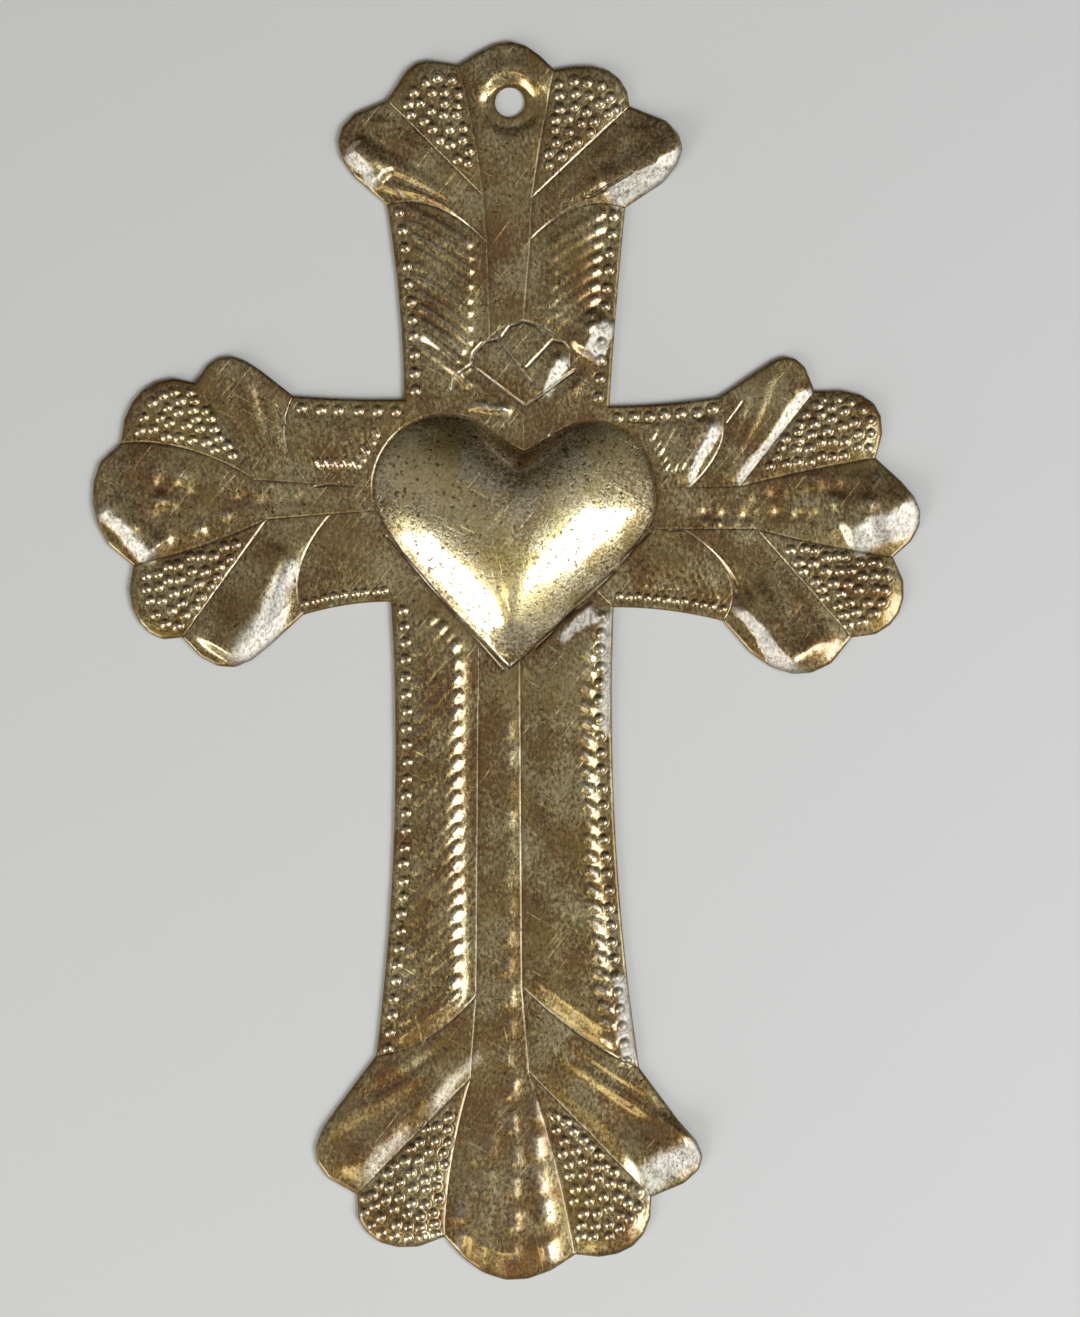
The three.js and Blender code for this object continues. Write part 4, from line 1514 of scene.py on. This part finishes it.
@dataclass(frozen=True)
class Pattern:
    """Noise of a finish: its scale, its detail, and how strongly the finer detail shows."""

    scale: float
    detail: float
    roughness: float


@dataclass
class NodeBench:
    """Node tree, with short ways to add what the finishes and the surround need."""

    tree: bpy.types.NodeTree

    def add(self, kind: str, settings: dict | None = None, inputs: dict | None = None) -> bpy.types.Node:
        """Node with its settings and inputs.

        Args:
            kind: Type of the node.
            settings: Properties of the node.
            inputs: Values, or sockets to link, by the input's name or number.

        Returns:
            The new node.
        """
        node = self.tree.nodes.new(kind)
        for key, value in (settings or {}).items():
            setattr(node, key, value)
        for key, value in (inputs or {}).items():
            if isinstance(value, bpy.types.NodeSocket):
                self.tree.links.new(value, node.inputs[key])
            else:
                node.inputs[key].default_value = value
        return node

    def layer(self, name: str) -> Socket:
        """Socket of a layer of tool marks, which is an attribute of the piece."""
        return self.add("ShaderNodeAttribute", {"attribute_name": name}).outputs["Fac"]

    def mapped(self, place: Socket, change: str, amounts: Colour) -> Socket:
        """Socket of a place that is scaled or turned along the three axes."""
        return self.add("ShaderNodeMapping", {}, {"Vector": place, change: amounts}).outputs[0]

    def noise(self, place: Socket, pattern: Pattern) -> Socket:
        """Socket of a noise at a place."""
        inputs = {"Scale": pattern.scale, "Detail": pattern.detail, "Roughness": pattern.roughness}
        return self.add("ShaderNodeTexNoise", {}, {"Vector": place, **inputs}).outputs["Fac"]

    def ranged(self, value: Socket, given: Spot, wanted: Spot = (0.0, 1.0)) -> Socket:
        """Socket of a value, mapped from the given range to the wanted one and held inside it."""
        inputs = dict(zip(("From Min", "From Max", "To Min", "To Max"), (*given, *wanted)))
        return self.add("ShaderNodeMapRange", {}, {"Value": value, **inputs}).outputs[0]

    def maths(self, operation: str, one: Value, two: Value) -> Socket:
        """Socket of a sum, product or the like of two values."""
        return self.add("ShaderNodeMath", {"operation": operation}, {0: one, 1: two}).outputs[0]

    def product(self, one: Value, two: Value) -> Socket:
        """Socket of the product of two values."""
        return self.maths("MULTIPLY", one, two)

    def total(self, one: Value, two: Value) -> Socket:
        """Socket of the sum of two values."""
        return self.maths("ADD", one, two)

    def stronger(self, one: Value, two: Value) -> Socket:
        """Socket of the higher of two values."""
        return self.maths("MAXIMUM", one, two)

    def mixed(self, share: Value, one: Socket, two: Socket | tuple, blend: str = "MIX") -> Socket:
        """Socket of two colours mixed by a share."""
        settings = {"data_type": "RGBA", "blend_type": blend}
        return self.add("ShaderNodeMix", settings, {0: share, 6: one, 7: two}).outputs[2]

    def tilted(self, height: Socket, distance: float, under: Socket | None = None) -> Socket:
        """Socket of a surface direction tilted by a height.

        Args:
            height: Height of the bumps, from 0 to 1.
            distance: How high 1 stands in metres, or lies deep where it is below 0.
            under: Surface direction that it tilts, or the surface's own.

        Returns:
            The tilted direction.
        """
        inputs = {"Height": height, "Distance": abs(distance)}
        if under is not None:
            inputs["Normal"] = under
        return self.add("ShaderNodeBump", {"invert": distance < 0.0}, inputs).outputs["Normal"]


@dataclass(frozen=True)
class SteelFinish:
    """Lacquered raw steel: mottled bronze and pale patches, rust in the recesses, specks and scratches, with
    bent facets lightened as a painted highlight.

    Amounts are how far a layer covers what lies under it. Pairs of ranges map one layer to another.
    """

    name: str
    rust: Colour
    bronze: Colour
    pale: Colour
    # Bare steel: wear on crests and grooves, and a painted highlight on the bent facets.
    bare: Colour
    stain: Colour
    gilt: Colour
    tarnish: Colour
    roughness: Spot
    coat_roughness: float
    coat: float = 1.0
    coat_ior: float = 1.7
    coat_end: float = 0.8
    metallic: float = 0.92
    stops: tuple[float, float, float] = (0.425, 0.49, 0.57)
    shades: Spot = (0.36, 1.66)
    mottle: Pattern = Pattern(1900.0, 5.0, 0.7)
    mottle_range: Spot = (0.3, 0.7)
    mottle_stretch: Colour = (1.0, 0.6, 1.0)
    cloud: Pattern = Pattern(110.0, 3.0, 0.55)
    cloud_share: float = 0.5
    speck: Pattern = Pattern(1500.0, 2.0, 0.5)
    speck_range: Spot = (0.62, 0.71)
    speck_amount: float = 0.75
    gilding: Pattern = Pattern(75.0, 5.0, 0.65)
    gilt_range: Spot = (0.47, 0.62)
    gilt_amount: float = 0.62
    fleck: Pattern = Pattern(2400.0, 2.0, 0.5)
    fleck_range: Spot = (0.5, 0.62)
    fleck_amount: float = 0.8
    dull_ranges: tuple[Spot, Spot] = ((0.28, 0.62), (0.45, 1.0))
    dull_amount: float = 0.85
    dull_roughness: float = 0.16
    worn_and_sheen_ranges: tuple[Spot, Spot] = ((0.4, 0.56), (0.35, 1.0))
    worn_and_sheen_amount: float = 0.75
    stain_ranges: tuple[Spot, Spot] = ((0.4, 0.56), (1.0, 0.2))
    stain_amount: float = 0.8
    satin_roughness: float = 0.2
    satin_grain: float = 1.5
    grain_height: float = 0.00004
    pit_share: float = 0.5
    thread: Pattern = Pattern(1.0, 2.0, 0.55)
    thread_stretch: Colour = (70.0, 2600.0, 70.0)
    scratch_turns: tuple[float, ...] = (0.5, -0.9, 1.35)
    scratch_range: Spot = (0.66, 0.74)
    scratch_amount: float = 0.3
    scratch_height: float = 0.00003

    def make(self) -> bpy.types.Material:
        """Material with every node of the finish.

        Returns:
            The material, which reads Object coordinates and the layers of tool marks.
        """
        material = bpy.data.materials.new(self.name)
        material.use_nodes = True
        bench = NodeBench(material.node_tree)
        shader = bench.tree.nodes["Principled BSDF"]
        shader.inputs["Metallic"].default_value = self.metallic
        shader.inputs["Coat Roughness"].default_value = self.coat_roughness
        shader.inputs["Coat IOR"].default_value = self.coat_ior
        place = bench.add("ShaderNodeTexCoord").outputs["Object"]
        mottle = bench.noise(bench.mapped(place, "Scale", self.mottle_stretch), self.mottle)
        cloud = bench.product(bench.noise(place, self.cloud), self.cloud_share)
        cloud = bench.total(cloud, bench.product(mottle, 1.0 - self.cloud_share))
        speck = bench.ranged(bench.noise(place, self.speck), self.speck_range)
        scratches = self._scratches(bench, place)
        dull = bench.product(bench.layer("tarnish"), bench.ranged(mottle, *self.dull_ranges))
        rubbed_sheen = bench.layer("rubbed_sheen")
        # Polish is wear on crests and in grooves; rubbed_sheen is wear and a painted highlight on bent
        # facets.
        rubbed_and_sheen = bench.stronger(bench.layer("polish"), rubbed_sheen)
        worn = bench.product(rubbed_and_sheen, bench.ranged(mottle, *self.worn_and_sheen_ranges))
        stained = bench.product(bench.layer("rust"), bench.ranged(cloud, *self.stain_ranges))
        gilt = bench.ranged(bench.noise(place, self.gilding), self.gilt_range)
        flecks = bench.ranged(bench.noise(place, self.fleck), self.fleck_range)
        gilt = bench.stronger(gilt, bench.product(flecks, self.fleck_amount))
        colour = self._clouded(bench, cloud, mottle)
        # The bare colour over the worn share is wear, and on the bent facets a painted highlight.
        for layer, amount, tint in (
            (gilt, self.gilt_amount, self.gilt),
            (scratches, self.scratch_amount, self.pale),
            (stained, self.stain_amount, self.stain),
            (worn, self.worn_and_sheen_amount, self.bare),
            (speck, self.speck_amount, self.tarnish),
            (dull, self.dull_amount, self.tarnish),
        ):
            colour = bench.mixed(bench.product(layer, amount), colour, (*tint, 1.0))
        rough = bench.ranged(mottle, self.mottle_range, self.roughness)
        rough = bench.total(rough, bench.product(dull, self.dull_roughness))
        rough = bench.total(rough, bench.product(rubbed_sheen, self.satin_roughness))
        pitted = bench.stronger(bench.stronger(speck, dull), rubbed_sheen)
        coat = bench.ranged(pitted, (0.0, self.coat_end), (self.coat, 0.0))
        coarse = bench.product(mottle, bench.total(bench.product(rubbed_sheen, self.satin_grain), 1.0))
        grain = bench.tilted(coarse, self.grain_height)
        pits = bench.tilted(speck, -self.pit_share * self.grain_height, grain)
        normal = bench.tilted(scratches, -self.scratch_height, pits)
        sockets = {"Base Color": colour, "Roughness": rough, "Coat Weight": coat, "Normal": normal}
        for name, value in sockets.items():
            bench.tree.links.new(value, shader.inputs[name])
        return material

    def _scratches(self, bench: NodeBench, place: Socket) -> Socket:
        """Fine scratches in a few directions: crests of a noise that is drawn out into threads.

        Args:
            bench: Node tree of the material.
            place: Object coordinates.

        Returns:
            The strongest of the scratches, from 0 to 1.
        """
        most = 0.0
        for turn in self.scratch_turns:
            turned = bench.mapped(place, "Rotation", (0.0, 0.0, turn))
            threads = bench.noise(bench.mapped(turned, "Scale", self.thread_stretch), self.thread)
            most = bench.stronger(bench.ranged(threads, self.scratch_range), most)
        return most

    def _clouded(self, bench: NodeBench, cloud: Socket, mottle: Socket) -> Socket:
        """Colour of the plain sheet: rust, bronze and pale by the clouds, times a shade by the mottle.

        Args:
            bench: Node tree of the material.
            cloud: Broad patches.
            mottle: Fine patches.

        Returns:
            The colour.
        """
        ramp = bench.add("ShaderNodeValToRGB", {}, {"Fac": cloud})
        stops = ramp.color_ramp.elements
        stops[0].position, stops[0].color = self.stops[0], (*self.rust, 1.0)
        stops[1].position, stops[1].color = self.stops[2], (*self.pale, 1.0)
        stops.new(self.stops[1]).color = (*self.bronze, 1.0)
        shade = bench.ranged(mottle, self.mottle_range, self.shades)
        return bench.mixed(1.0, ramp.outputs["Color"], shade, "MULTIPLY")


@dataclass(frozen=True)
class Lamp:
    """Soft square lamp, aimed at the middle of the cross. Sizes are metres and power is watts."""

    name: str
    place: tuple[float, float, float]
    size: float
    power: float
    colour: Colour

    def build(self) -> None:
        """Lamp of the scene."""
        light = bpy.data.lights.new(self.name, "AREA")
        light.shape = "SQUARE"
        light.size = self.size
        light.energy = self.power
        light.color = self.colour
        lamp = bpy.data.objects.new(self.name, light)
        lamp.location = self.place
        away = lamp.location.normalized()
        lamp.rotation_euler = away.to_track_quat("Z", "Y").to_euler()
        bpy.context.scene.collection.objects.link(lamp)


@dataclass(frozen=True)
class Studio:
    """Pale floor, soft lamps beyond the foot of the cross, a dim surround and a camera straight above."""

    floor_half: float = 2.5
    floor_level: float = -0.0001
    floor_colour: Colour = (0.71, 0.69, 0.67)
    floor_roughness: float = 0.85
    lamps: tuple[Lamp, ...] = (
        Lamp("right_lamp", (0.76, -0.34, 0.8), 0.66, 10.2, (0.86, 0.93, 1.0)),
        Lamp("left_lamp", (-0.79, -0.74, 0.37), 0.55, 6.9, (0.89, 0.94, 1.0)),
        Lamp("warm_lamp", (-0.2, -0.55, 0.86), 0.2, 0.6, (1.0, 0.87, 0.45)),
    )
    surround: Colour = (1.0, 0.96, 0.89)
    surround_levels: tuple[Spot, ...] = (
        (-0.85, 0.37), (-0.22, 0.1), (-0.1, 0.285), (0.14, 0.35), (0.3, 0.3), (0.85, 0.036),
    )
    camera_height: float = 0.9
    view_height: float = 0.2434
    view_offset: tuple[float, float] = (0.0062, 0.0004)
    sensor: float = 36.0

    def build(self) -> None:
        """Floor, lamps, surround and camera."""
        self._floor()
        for lamp in self.lamps:
            lamp.build()
        self._surround()
        camera = bpy.data.cameras.new("overhead")
        camera.sensor_width = self.sensor
        camera.lens = self.sensor * self.camera_height / self.view_height
        over = bpy.data.objects.new("overhead", camera)
        over.location = (*self.view_offset, self.camera_height)
        bpy.context.scene.collection.objects.link(over)
        bpy.context.scene.camera = over
        bpy.context.scene.view_settings.view_transform = "Standard"

    def _floor(self) -> None:
        """Plain pale floor under the sheet."""
        half, level = self.floor_half, self.floor_level
        corners = [(-half, -half, level), (half, -half, level), (half, half, level), (-half, half, level)]
        mesh = bpy.data.meshes.new("floor")
        mesh.from_pydata(corners, [], [(0, 1, 2, 3)])
        material = bpy.data.materials.new("pale_floor")
        material.use_nodes = True
        shader = material.node_tree.nodes["Principled BSDF"]
        shader.inputs["Base Color"].default_value = (*self.floor_colour, 1.0)
        shader.inputs["Roughness"].default_value = self.floor_roughness
        mesh.materials.append(material)
        floor = bpy.data.objects.new("floor", mesh)
        bpy.context.scene.collection.objects.link(floor)
        floor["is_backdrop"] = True

    def _surround(self) -> None:
        """Dim surround, brighter beyond the foot of the cross than beyond its head."""
        world = bpy.data.worlds.new("surround")
        world.use_nodes = True
        bench = NodeBench(world.node_tree)
        direction = bench.add("ShaderNodeTexCoord").outputs["Generated"]
        split = bench.add("ShaderNodeSeparateXYZ", {}, {0: direction})
        background = bench.tree.nodes["Background"]
        background.inputs["Color"].default_value = (*self.surround, 1.0)
        share = bench.ranged(split.outputs["Y"], (-1.0, 1.0))
        ramp = bench.add("ShaderNodeValToRGB", {}, {"Fac": share})
        stops = ramp.color_ramp.elements
        stops.remove(stops[1])
        for number, (height, level) in enumerate(self.surround_levels):
            place = 0.5 + 0.5 * height
            stop = stops.new(place) if number else stops[0]
            stop.position, stop.color = place, (level, level, level, 1.0)
        bench.tree.links.new(ramp.outputs["Color"], background.inputs["Strength"])
        bpy.context.scene.world = world


# The bare colours are wear, and on the bent facets a painted highlight.
SHEET_STEEL = SteelFinish(
    "lacquered_steel_sheet", rust=(0.232, 0.108, 0.03), bronze=(0.322, 0.219, 0.085),
    pale=(0.505, 0.41, 0.222), bare=(0.76, 0.75, 0.71), stain=(0.25, 0.115, 0.03), gilt=(0.35, 0.222, 0.05),
    tarnish=(0.06, 0.034, 0.014), roughness=(0.22, 0.36), coat_roughness=0.15,
)
HEART_STEEL = SteelFinish(
    "burnished_heart_steel", rust=(0.39, 0.25, 0.095), bronze=(0.61, 0.5, 0.28), pale=(0.74, 0.665, 0.47),
    bare=(0.8, 0.76, 0.66), stain=(0.12, 0.056, 0.017), gilt=(0.72, 0.54, 0.16),
    tarnish=(0.06, 0.036, 0.016), roughness=(0.19, 0.33), coat_roughness=0.13, coat_ior=2.2,
    stops=(0.44, 0.5, 0.565), mottle=Pattern(1800.0, 5.0, 0.7), mottle_stretch=(1.0, 1.0, 1.0),
    speck=Pattern(1150.0, 2.0, 0.5), speck_range=(0.59, 0.68), grain_height=0.00006,
)

HALF_ARMS = (
    HalfArm(
        "top_left", Arm.TOP, side=1.0, corner=TOP_LEFT_CORNER, spine_half_width=0.0,
        edge_length=35.9, waist=19.2, neck=22.2, leaf_notch_length=19.3, leaf_notch=22.2,
        lobe_notch_length=6.6, lobe_notch=8.9, leaf_root_length=17.2, leaf_root=3.7,
        lobe_root_length=8.7, lobe_root=4.4, leaf_line_bow=3.1, spine_bow=0.3,
        leaf=LobeEdge(9.1, 0.6, 0.6), lobe=LobeEdge(3.8, 0.53, 1.2),
        beading=Beading(3.2, 2.6, 9.0, 6.2, (0.34, 0.28, 0.26), 0.86),
        strokes=(Stroke(((-18.9, 56.4), (-22.0, 59.7))),),
        leaf_slope=0.16, flute_height=0.26, panel_rise=0.4, edge_lean=1.55, panel_hold=4.0,
    ),
    HalfArm(
        "top_right", Arm.TOP, side=-1.0, corner=TOP_RIGHT_CORNER, spine_half_width=0.0,
        edge_length=36.6, waist=20.0, neck=21.8, leaf_notch_length=18.7, leaf_notch=22.6,
        lobe_notch_length=6.8, lobe_notch=8.7, leaf_root_length=15.1, leaf_root=4.3,
        lobe_root_length=7.8, lobe_root=4.6, leaf_line_bow=3.0, spine_bow=0.43,
        leaf=LobeEdge(10.1, 0.6, 0.55), lobe=LobeEdge(4.3, 0.42, 0.9),
        beading=Beading(3.2, 2.6, 9.5, 6.2, (0.3, 0.13, 0.2), 0.55),
        strokes=(Stroke(((15.0, 56.6), (22.9, 61.0)), 0.4),),
        leaf_slope=0.2, leaf_fold=4.5, panel_rise=0.5, edge_lean=1.55, panel_hold=4.0,
    ),
    HalfArm(
        "left_upper", Arm.LEFT, side=-1.0, corner=TOP_LEFT_CORNER, spine_half_width=3.1,
        edge_length=20.5, waist=19.2, neck=20.0, leaf_notch_length=18.1, leaf_notch=22.4,
        lobe_notch_length=13.7, lobe_notch=11.3, leaf_root_length=12.2, leaf_root=3.9,
        lobe_root_length=9.5, lobe_root=4.5, leaf_line_bow=2.6, spine_bow=1.15,
        leaf=LobeEdge(5.8, 0.66, 0.65), lobe=LobeEdge(5.1, 0.46, 0.75),
        beading=Beading(3.4, 1.7, 3.0, 4.6, (0.12, 0.12, 0.36), 0.8),
        strokes=(Stroke(((-40.9, 14.6), (-42.5, 18.1)), 0.25), Stroke(((-35.3, 3.3), (-30.2, 4.0)), 0.2)),
        flute_height=0.27, panel_rise=0.4, spine_line_from=3.5,
    ),
    HalfArm(
        "left_lower", Arm.LEFT, side=1.0, corner=BOTTOM_LEFT_CORNER, spine_half_width=1.2,
        edge_length=16.3, waist=18.0, neck=20.5, leaf_notch_length=22.2, leaf_notch=24.6,
        lobe_notch_length=9.1, lobe_notch=11.3, leaf_root_length=8.5, leaf_root=1.8,
        lobe_root_length=11.9, lobe_root=2.8, leaf_line_bow=2.9, spine_bow=0.68,
        leaf=LobeEdge(7.2, 0.62, 0.8), lobe=LobeEdge(5.0, 0.42, 0.65),
        beading=Beading(1.9, 1.6, 3.0, 4.0, (0.05, 0.04, 0.05), 0.9),
        flute_height=0.1, panel_rise=0.3, panel_fall=7.0, spine_line_from=3.5,
    ),
    HalfArm(
        "right_upper", Arm.RIGHT, side=1.0, corner=TOP_RIGHT_CORNER, spine_half_width=2.8,
        edge_length=20.2, waist=18.2, neck=19.8, leaf_notch_length=17.7, leaf_notch=20.9,
        lobe_notch_length=11.3, lobe_notch=8.5, leaf_root_length=6.5, leaf_root=3.1,
        lobe_root_length=9.2, lobe_root=3.3, leaf_line_bow=3.2, spine_bow=0.62,
        leaf=LobeEdge(6.7, 0.72, 0.58), lobe=LobeEdge(6.6, 0.54, 0.75),
        beading=Beading(3.0, 1.5, 3.0, 4.6, (0.1, 0.12, 0.26), 0.85),
        strokes=(Stroke(((40.7, 15.0), (43.5, 18.8)), 0.25),),
        flute_height=0.15, panel_rise=0.4, spine_line_from=5.7,
    ),
    HalfArm(
        "right_lower", Arm.RIGHT, side=-1.0, corner=BOTTOM_RIGHT_CORNER, spine_half_width=4.6,
        edge_length=20.3, waist=19.0, neck=21.6, leaf_notch_length=23.7, leaf_notch=24.6,
        lobe_notch_length=7.6, lobe_notch=9.8, leaf_root_length=6.7, leaf_root=4.6,
        lobe_root_length=13.5, lobe_root=4.6, leaf_line_bow=4.8, spine_bow=0.65,
        leaf=LobeEdge(8.1, 0.58, 0.62), lobe=LobeEdge(5.7, 0.48, 0.65),
        beading=Beading(1.8, 1.45, 3.0, 4.4, (0.14, 0.16, 0.16), 0.85),
        strokes=(Stroke(((42.2, -16.0), (43.3, -19.4)), 0.25), Stroke(((30.1, -4.8), (33.8, -4.5)), 0.2)),
        leaf_slope=0.12, flute_height=0.26, panel_rise=0.3, panel_fall=7.0, lobe_line_chased=0.66,
        spine_line_from=3.0,
    ),
    HalfArm(
        "bottom_left", Arm.BOTTOM, side=-1.0, corner=BOTTOM_LEFT_CORNER, spine_half_width=5.2,
        edge_length=83.8, waist=18.9, neck=24.2, leaf_notch_length=25.7, leaf_notch=27.7,
        lobe_notch_length=7.8, lobe_notch=11.5, leaf_root_length=66.1, leaf_root=5.7,
        lobe_root_length=15.1, lobe_root=6.7, leaf_line_bow=2.5, spine_bow=0.92,
        leaf=LobeEdge(8.8, 0.7, 0.62), lobe=LobeEdge(6.1, 0.43, 0.7),
        beading=Beading(3.15, 3.1, 6.0, 7.6, (0.22, 0.14, 0.29), 0.55),
        leaf_slope=0.06, flute_height=0.22, spine_line_from=12.0,
    ),
    HalfArm(
        "bottom_right", Arm.BOTTOM, side=1.0, corner=BOTTOM_RIGHT_CORNER, spine_half_width=2.4,
        edge_length=85.1, waist=18.0, neck=24.4, leaf_notch_length=23.8, leaf_notch=26.6,
        lobe_notch_length=10.6, lobe_notch=12.6, leaf_root_length=60.7, leaf_root=2.8,
        lobe_root_length=15.8, lobe_root=4.1, leaf_line_bow=1.5, spine_bow=0.68,
        leaf=LobeEdge(10.2, 0.72, 0.7), lobe=LobeEdge(5.2, 0.47, 0.8),
        beading=Beading(3.15, 3.1, 6.0, 7.6, (0.36, 0.04, 0.0), 0.95),
        leaf_slope=0.08, flute_height=0.22,
    ),
)
INNER_STEPS = {Arm.TOP: 72, Arm.LEFT: 88, Arm.RIGHT: 88, Arm.BOTTOM: 330}
CENTRES = {
    Arm.TOP: LobeEdge(4.8, 0.53, 1.0),
    Arm.LEFT: LobeEdge(6.3, 0.46, 0.6),
    Arm.RIGHT: LobeEdge(6.4, 0.6, 0.75),
    Arm.BOTTOM: LobeEdge(6.4, 0.5, 0.85),
}
BUMPS = {
    Arm.TOP: (
        BumpRow((-6.5, 18.2), (-0.2, 17.6), 5, 0.8, 0.3, 1.2),
    ),
    Arm.LEFT: (
        BumpRow((-37.5, 0.9), (-48.5, 0.7), 4, 1.35, -0.4),
        BumpRow((-57.5, 2.6), (-67.0, 3.6), 4, 1.4, -0.4),
        BumpRow((-60.0, -1.6), (-66.8, -2.2), 3, 1.3, -0.36),
        BumpRow((-72.5, -2.6), (-66.6, -9.0), 4, 1.0, 0.3),
        BumpRow((-52.4, -1.8), (-56.6, -4.6), 2, 1.2, 0.45),
        BumpRow((-64.3, 1.2), (-68.9, -4.3), 3, 1.3, 0.4),
        BumpRow((-64.3, -6.5), (-66.4, -9.9), 2, 1.3, 0.4),
        BumpRow((-71.0, 6.3), (-60.0, 5.0), 3, 1.6, 0.3),
    ),
    Arm.RIGHT: (
        BumpRow((35.7, -3.6), (44.6, -3.8), 4, 0.8, 0.22),
        BumpRow((37.0, -2.0), (57.0, -2.6), 7, 1.3, -0.42),
        BumpRow((46.0, 1.1), (62.0, 2.4), 6, 1.3, -0.36),
        BumpRow((60.3, 0.9), (73.0, 0.2), 3, 1.4, 0.45),
        BumpRow((60.3, -4.4), (69.2, -4.6), 3, 1.6, 0.4),
        BumpRow((56.5, 4.6), (68.0, 4.8), 4, 1.4, 0.3),
    ),
    Arm.BOTTOM: (
        BumpRow((0.3, -41.0), (0.3, -102.0), 12, 1.2, 0.26, 1.8),
        BumpRow((1.4, -107.8), (1.0, -138.0), 6, 1.15, 0.3, 2.2),
        BumpRow((4.6, -112.0), (7.6, -137.5), 5, 1.6, 0.4, 2.2),
        BumpRow((-2.4, -112.0), (-4.4, -138.0), 5, 1.4, 0.22, 3.0),
        BumpRow((-6.4, -120.0), (-9.0, -136.0), 4, 1.4, 0.36, 2.0),
    ),
}

# Bent facets; each is lightened towards the bare colour: wear, and a painted highlight where it faces the
# lamps.
BENDS = (
    Bend((-51.0, -27.5), (-40.5, -10.5), (8.0, 2.2), 0.25, 10.0, 1.4),
    Bend((44.8, -20.2), (52.6, -28.8), (1.9, 3.8), 0.68, 12.0, fade=5.0),
    Bend((-73.4, -1.0), (-65.0, -8.4), (2.4, 3.0), 0.55, 5.0, 0.8),
    Bend((-28.0, 65.0), (-24.0, 60.5), (2.4, 2.4), 0.6, 4.5, 0.5),
    Bend((19.0, 58.4), (32.0, 65.8), (4.0, 5.0), 0.28, 8.0),
    Bend((63.3, -4.5), (74.9, 0.8), (5.4, 5.0), 0.25, 9.0, 1.0),
    Bend((33.5, 5.0), (37.0, 14.5), (1.2, 2.4), 0.32, 5.0, 0.4),
    Bend((42.6, 5.0), (54.6, 21.0), (1.5, 1.6), 0.28, 6.0, 0.6),
    Bend((14.5, 29.0), (17.2, 33.5), (4.0, 3.2), 0.34, 5.0),
    Bend((6.8, 21.0), (9.2, 26.5), (1.6, 2.2), 0.28, 2.5),
    Bend((10.0, -24.0), (14.6, -19.2), (1.6, 3.4), 0.25, 1.6),
    Bend((-16.0, 32.0), (-8.5, 25.0), (2.0, 2.0), 0.32, 3.0, 0.6, rub_and_sheen=0.15),
    Bend((-13.5, -109.0), (-7.5, -102.5), (2.8, 1.6), 0.2, 6.0, 0.9, 5.0, 0.6),
    Bend((-26.0, -121.5), (-21.5, -117.0), (3.2, 2.6), 0.18, 6.0, 1.2, 5.0, 0.6),
    Bend((24.5, -122.4), (33.5, -116.9), (5.5, 4.5), 0.25, 8.0, 1.2, 3.0),
    Bend((17.3, -41.5), (17.2, -21.0), (2.0, 2.0), 0.24, 3.0, 0.5),
    Bend((21.3, -102.0), (19.8, -88.0), (2.8, 2.4), 0.25, 3.0, 0.6),
)
STAINS = (
    Stain(((1.0, -28.5), (3.0, -24.5)), 5.0, 1.0),
    Stain(((0.0, 19.0), (15.0, 18.0)), 3.5),
    Stain(((-2.5, -38.0), (-2.5, -60.0)), 3.0, 0.7),
    Stain(((-20.0, -43.0), (-20.5, -66.0)), 2.0),
    Stain(((-52.0, 26.0), (-42.0, 21.0)), 2.5),
    Stain(((-30.0, 10.0), (-28.0, -4.0)), 4.0, 0.7),
    Stain(((0.5, 38.0), (0.5, 62.0)), 3.5, 0.7),
    Stain(((-24.0, 66.0), (-12.0, 55.0)), 3.0, 0.6),
    Stain(((-1.0, -110.0), (-2.0, -136.0)), 8.0, 1.0),
    Stain(((-13.0, -111.0), (-25.0, -120.0)), 7.0, 1.0),
    Stain(((14.0, -110.0), (26.0, -118.0)), 4.0, 0.8),
)


def build_layout() -> tuple[Heart, Flame, tuple[Spine, ...]]:
    """Draws every line of the cross.

    Returns:
        Its heart, its flame and its spines.
    """
    heart = Heart()
    flame = Flame(heart)
    for half in HALF_ARMS:
        half.draw(heart, flame, INNER_STEPS[half.arm])
    spines = []
    for arm in Arm:
        first, second = (half for half in HALF_ARMS if half.arm is arm)
        hole = NailHole() if arm is Arm.TOP else None
        spine = Spine(arm.name.lower(), first, second, CENTRES[arm], heart, flame, BUMPS[arm], hole)
        spine.draw()
        spines.append(spine)
    return heart, flame, tuple(spines)


def main() -> None:
    """Builds the studio, then the regions of the cross."""
    logging.basicConfig(level=logging.INFO, format="%(name)s %(message)s")
    Studio().build()
    heart, flame, spines = build_layout()
    edges = [edge for half in HALF_ARMS for edge in half.edges()]
    outline = np.concatenate([*edges, *(spine.edge for spine in spines)])
    low, high = outline.min(axis=0), outline.max(axis=0)
    crossing = (CAD_LOW + CAD_HIGH)[:2] / 2.0 / METRES - (low + high) / 2.0
    marks = ToolMarks(low - MARGIN, high + MARGIN)
    rng = np.random.default_rng(BLOW_SEED)
    heart.mark(marks)
    flame.mark(marks)
    for part in (*HALF_ARMS, *spines):
        part.mark(marks, rng)
    marks.polish_crests()
    for part in (*BENDS, *STAINS):
        part.mark(marks)
    shop = Workshop(marks, crossing, SHEET_STEEL.make(), HEART_STEEL.make())
    for part in (heart, flame, *HALF_ARMS, *spines):
        part.build(shop)


if __name__ == "__main__":
    main()
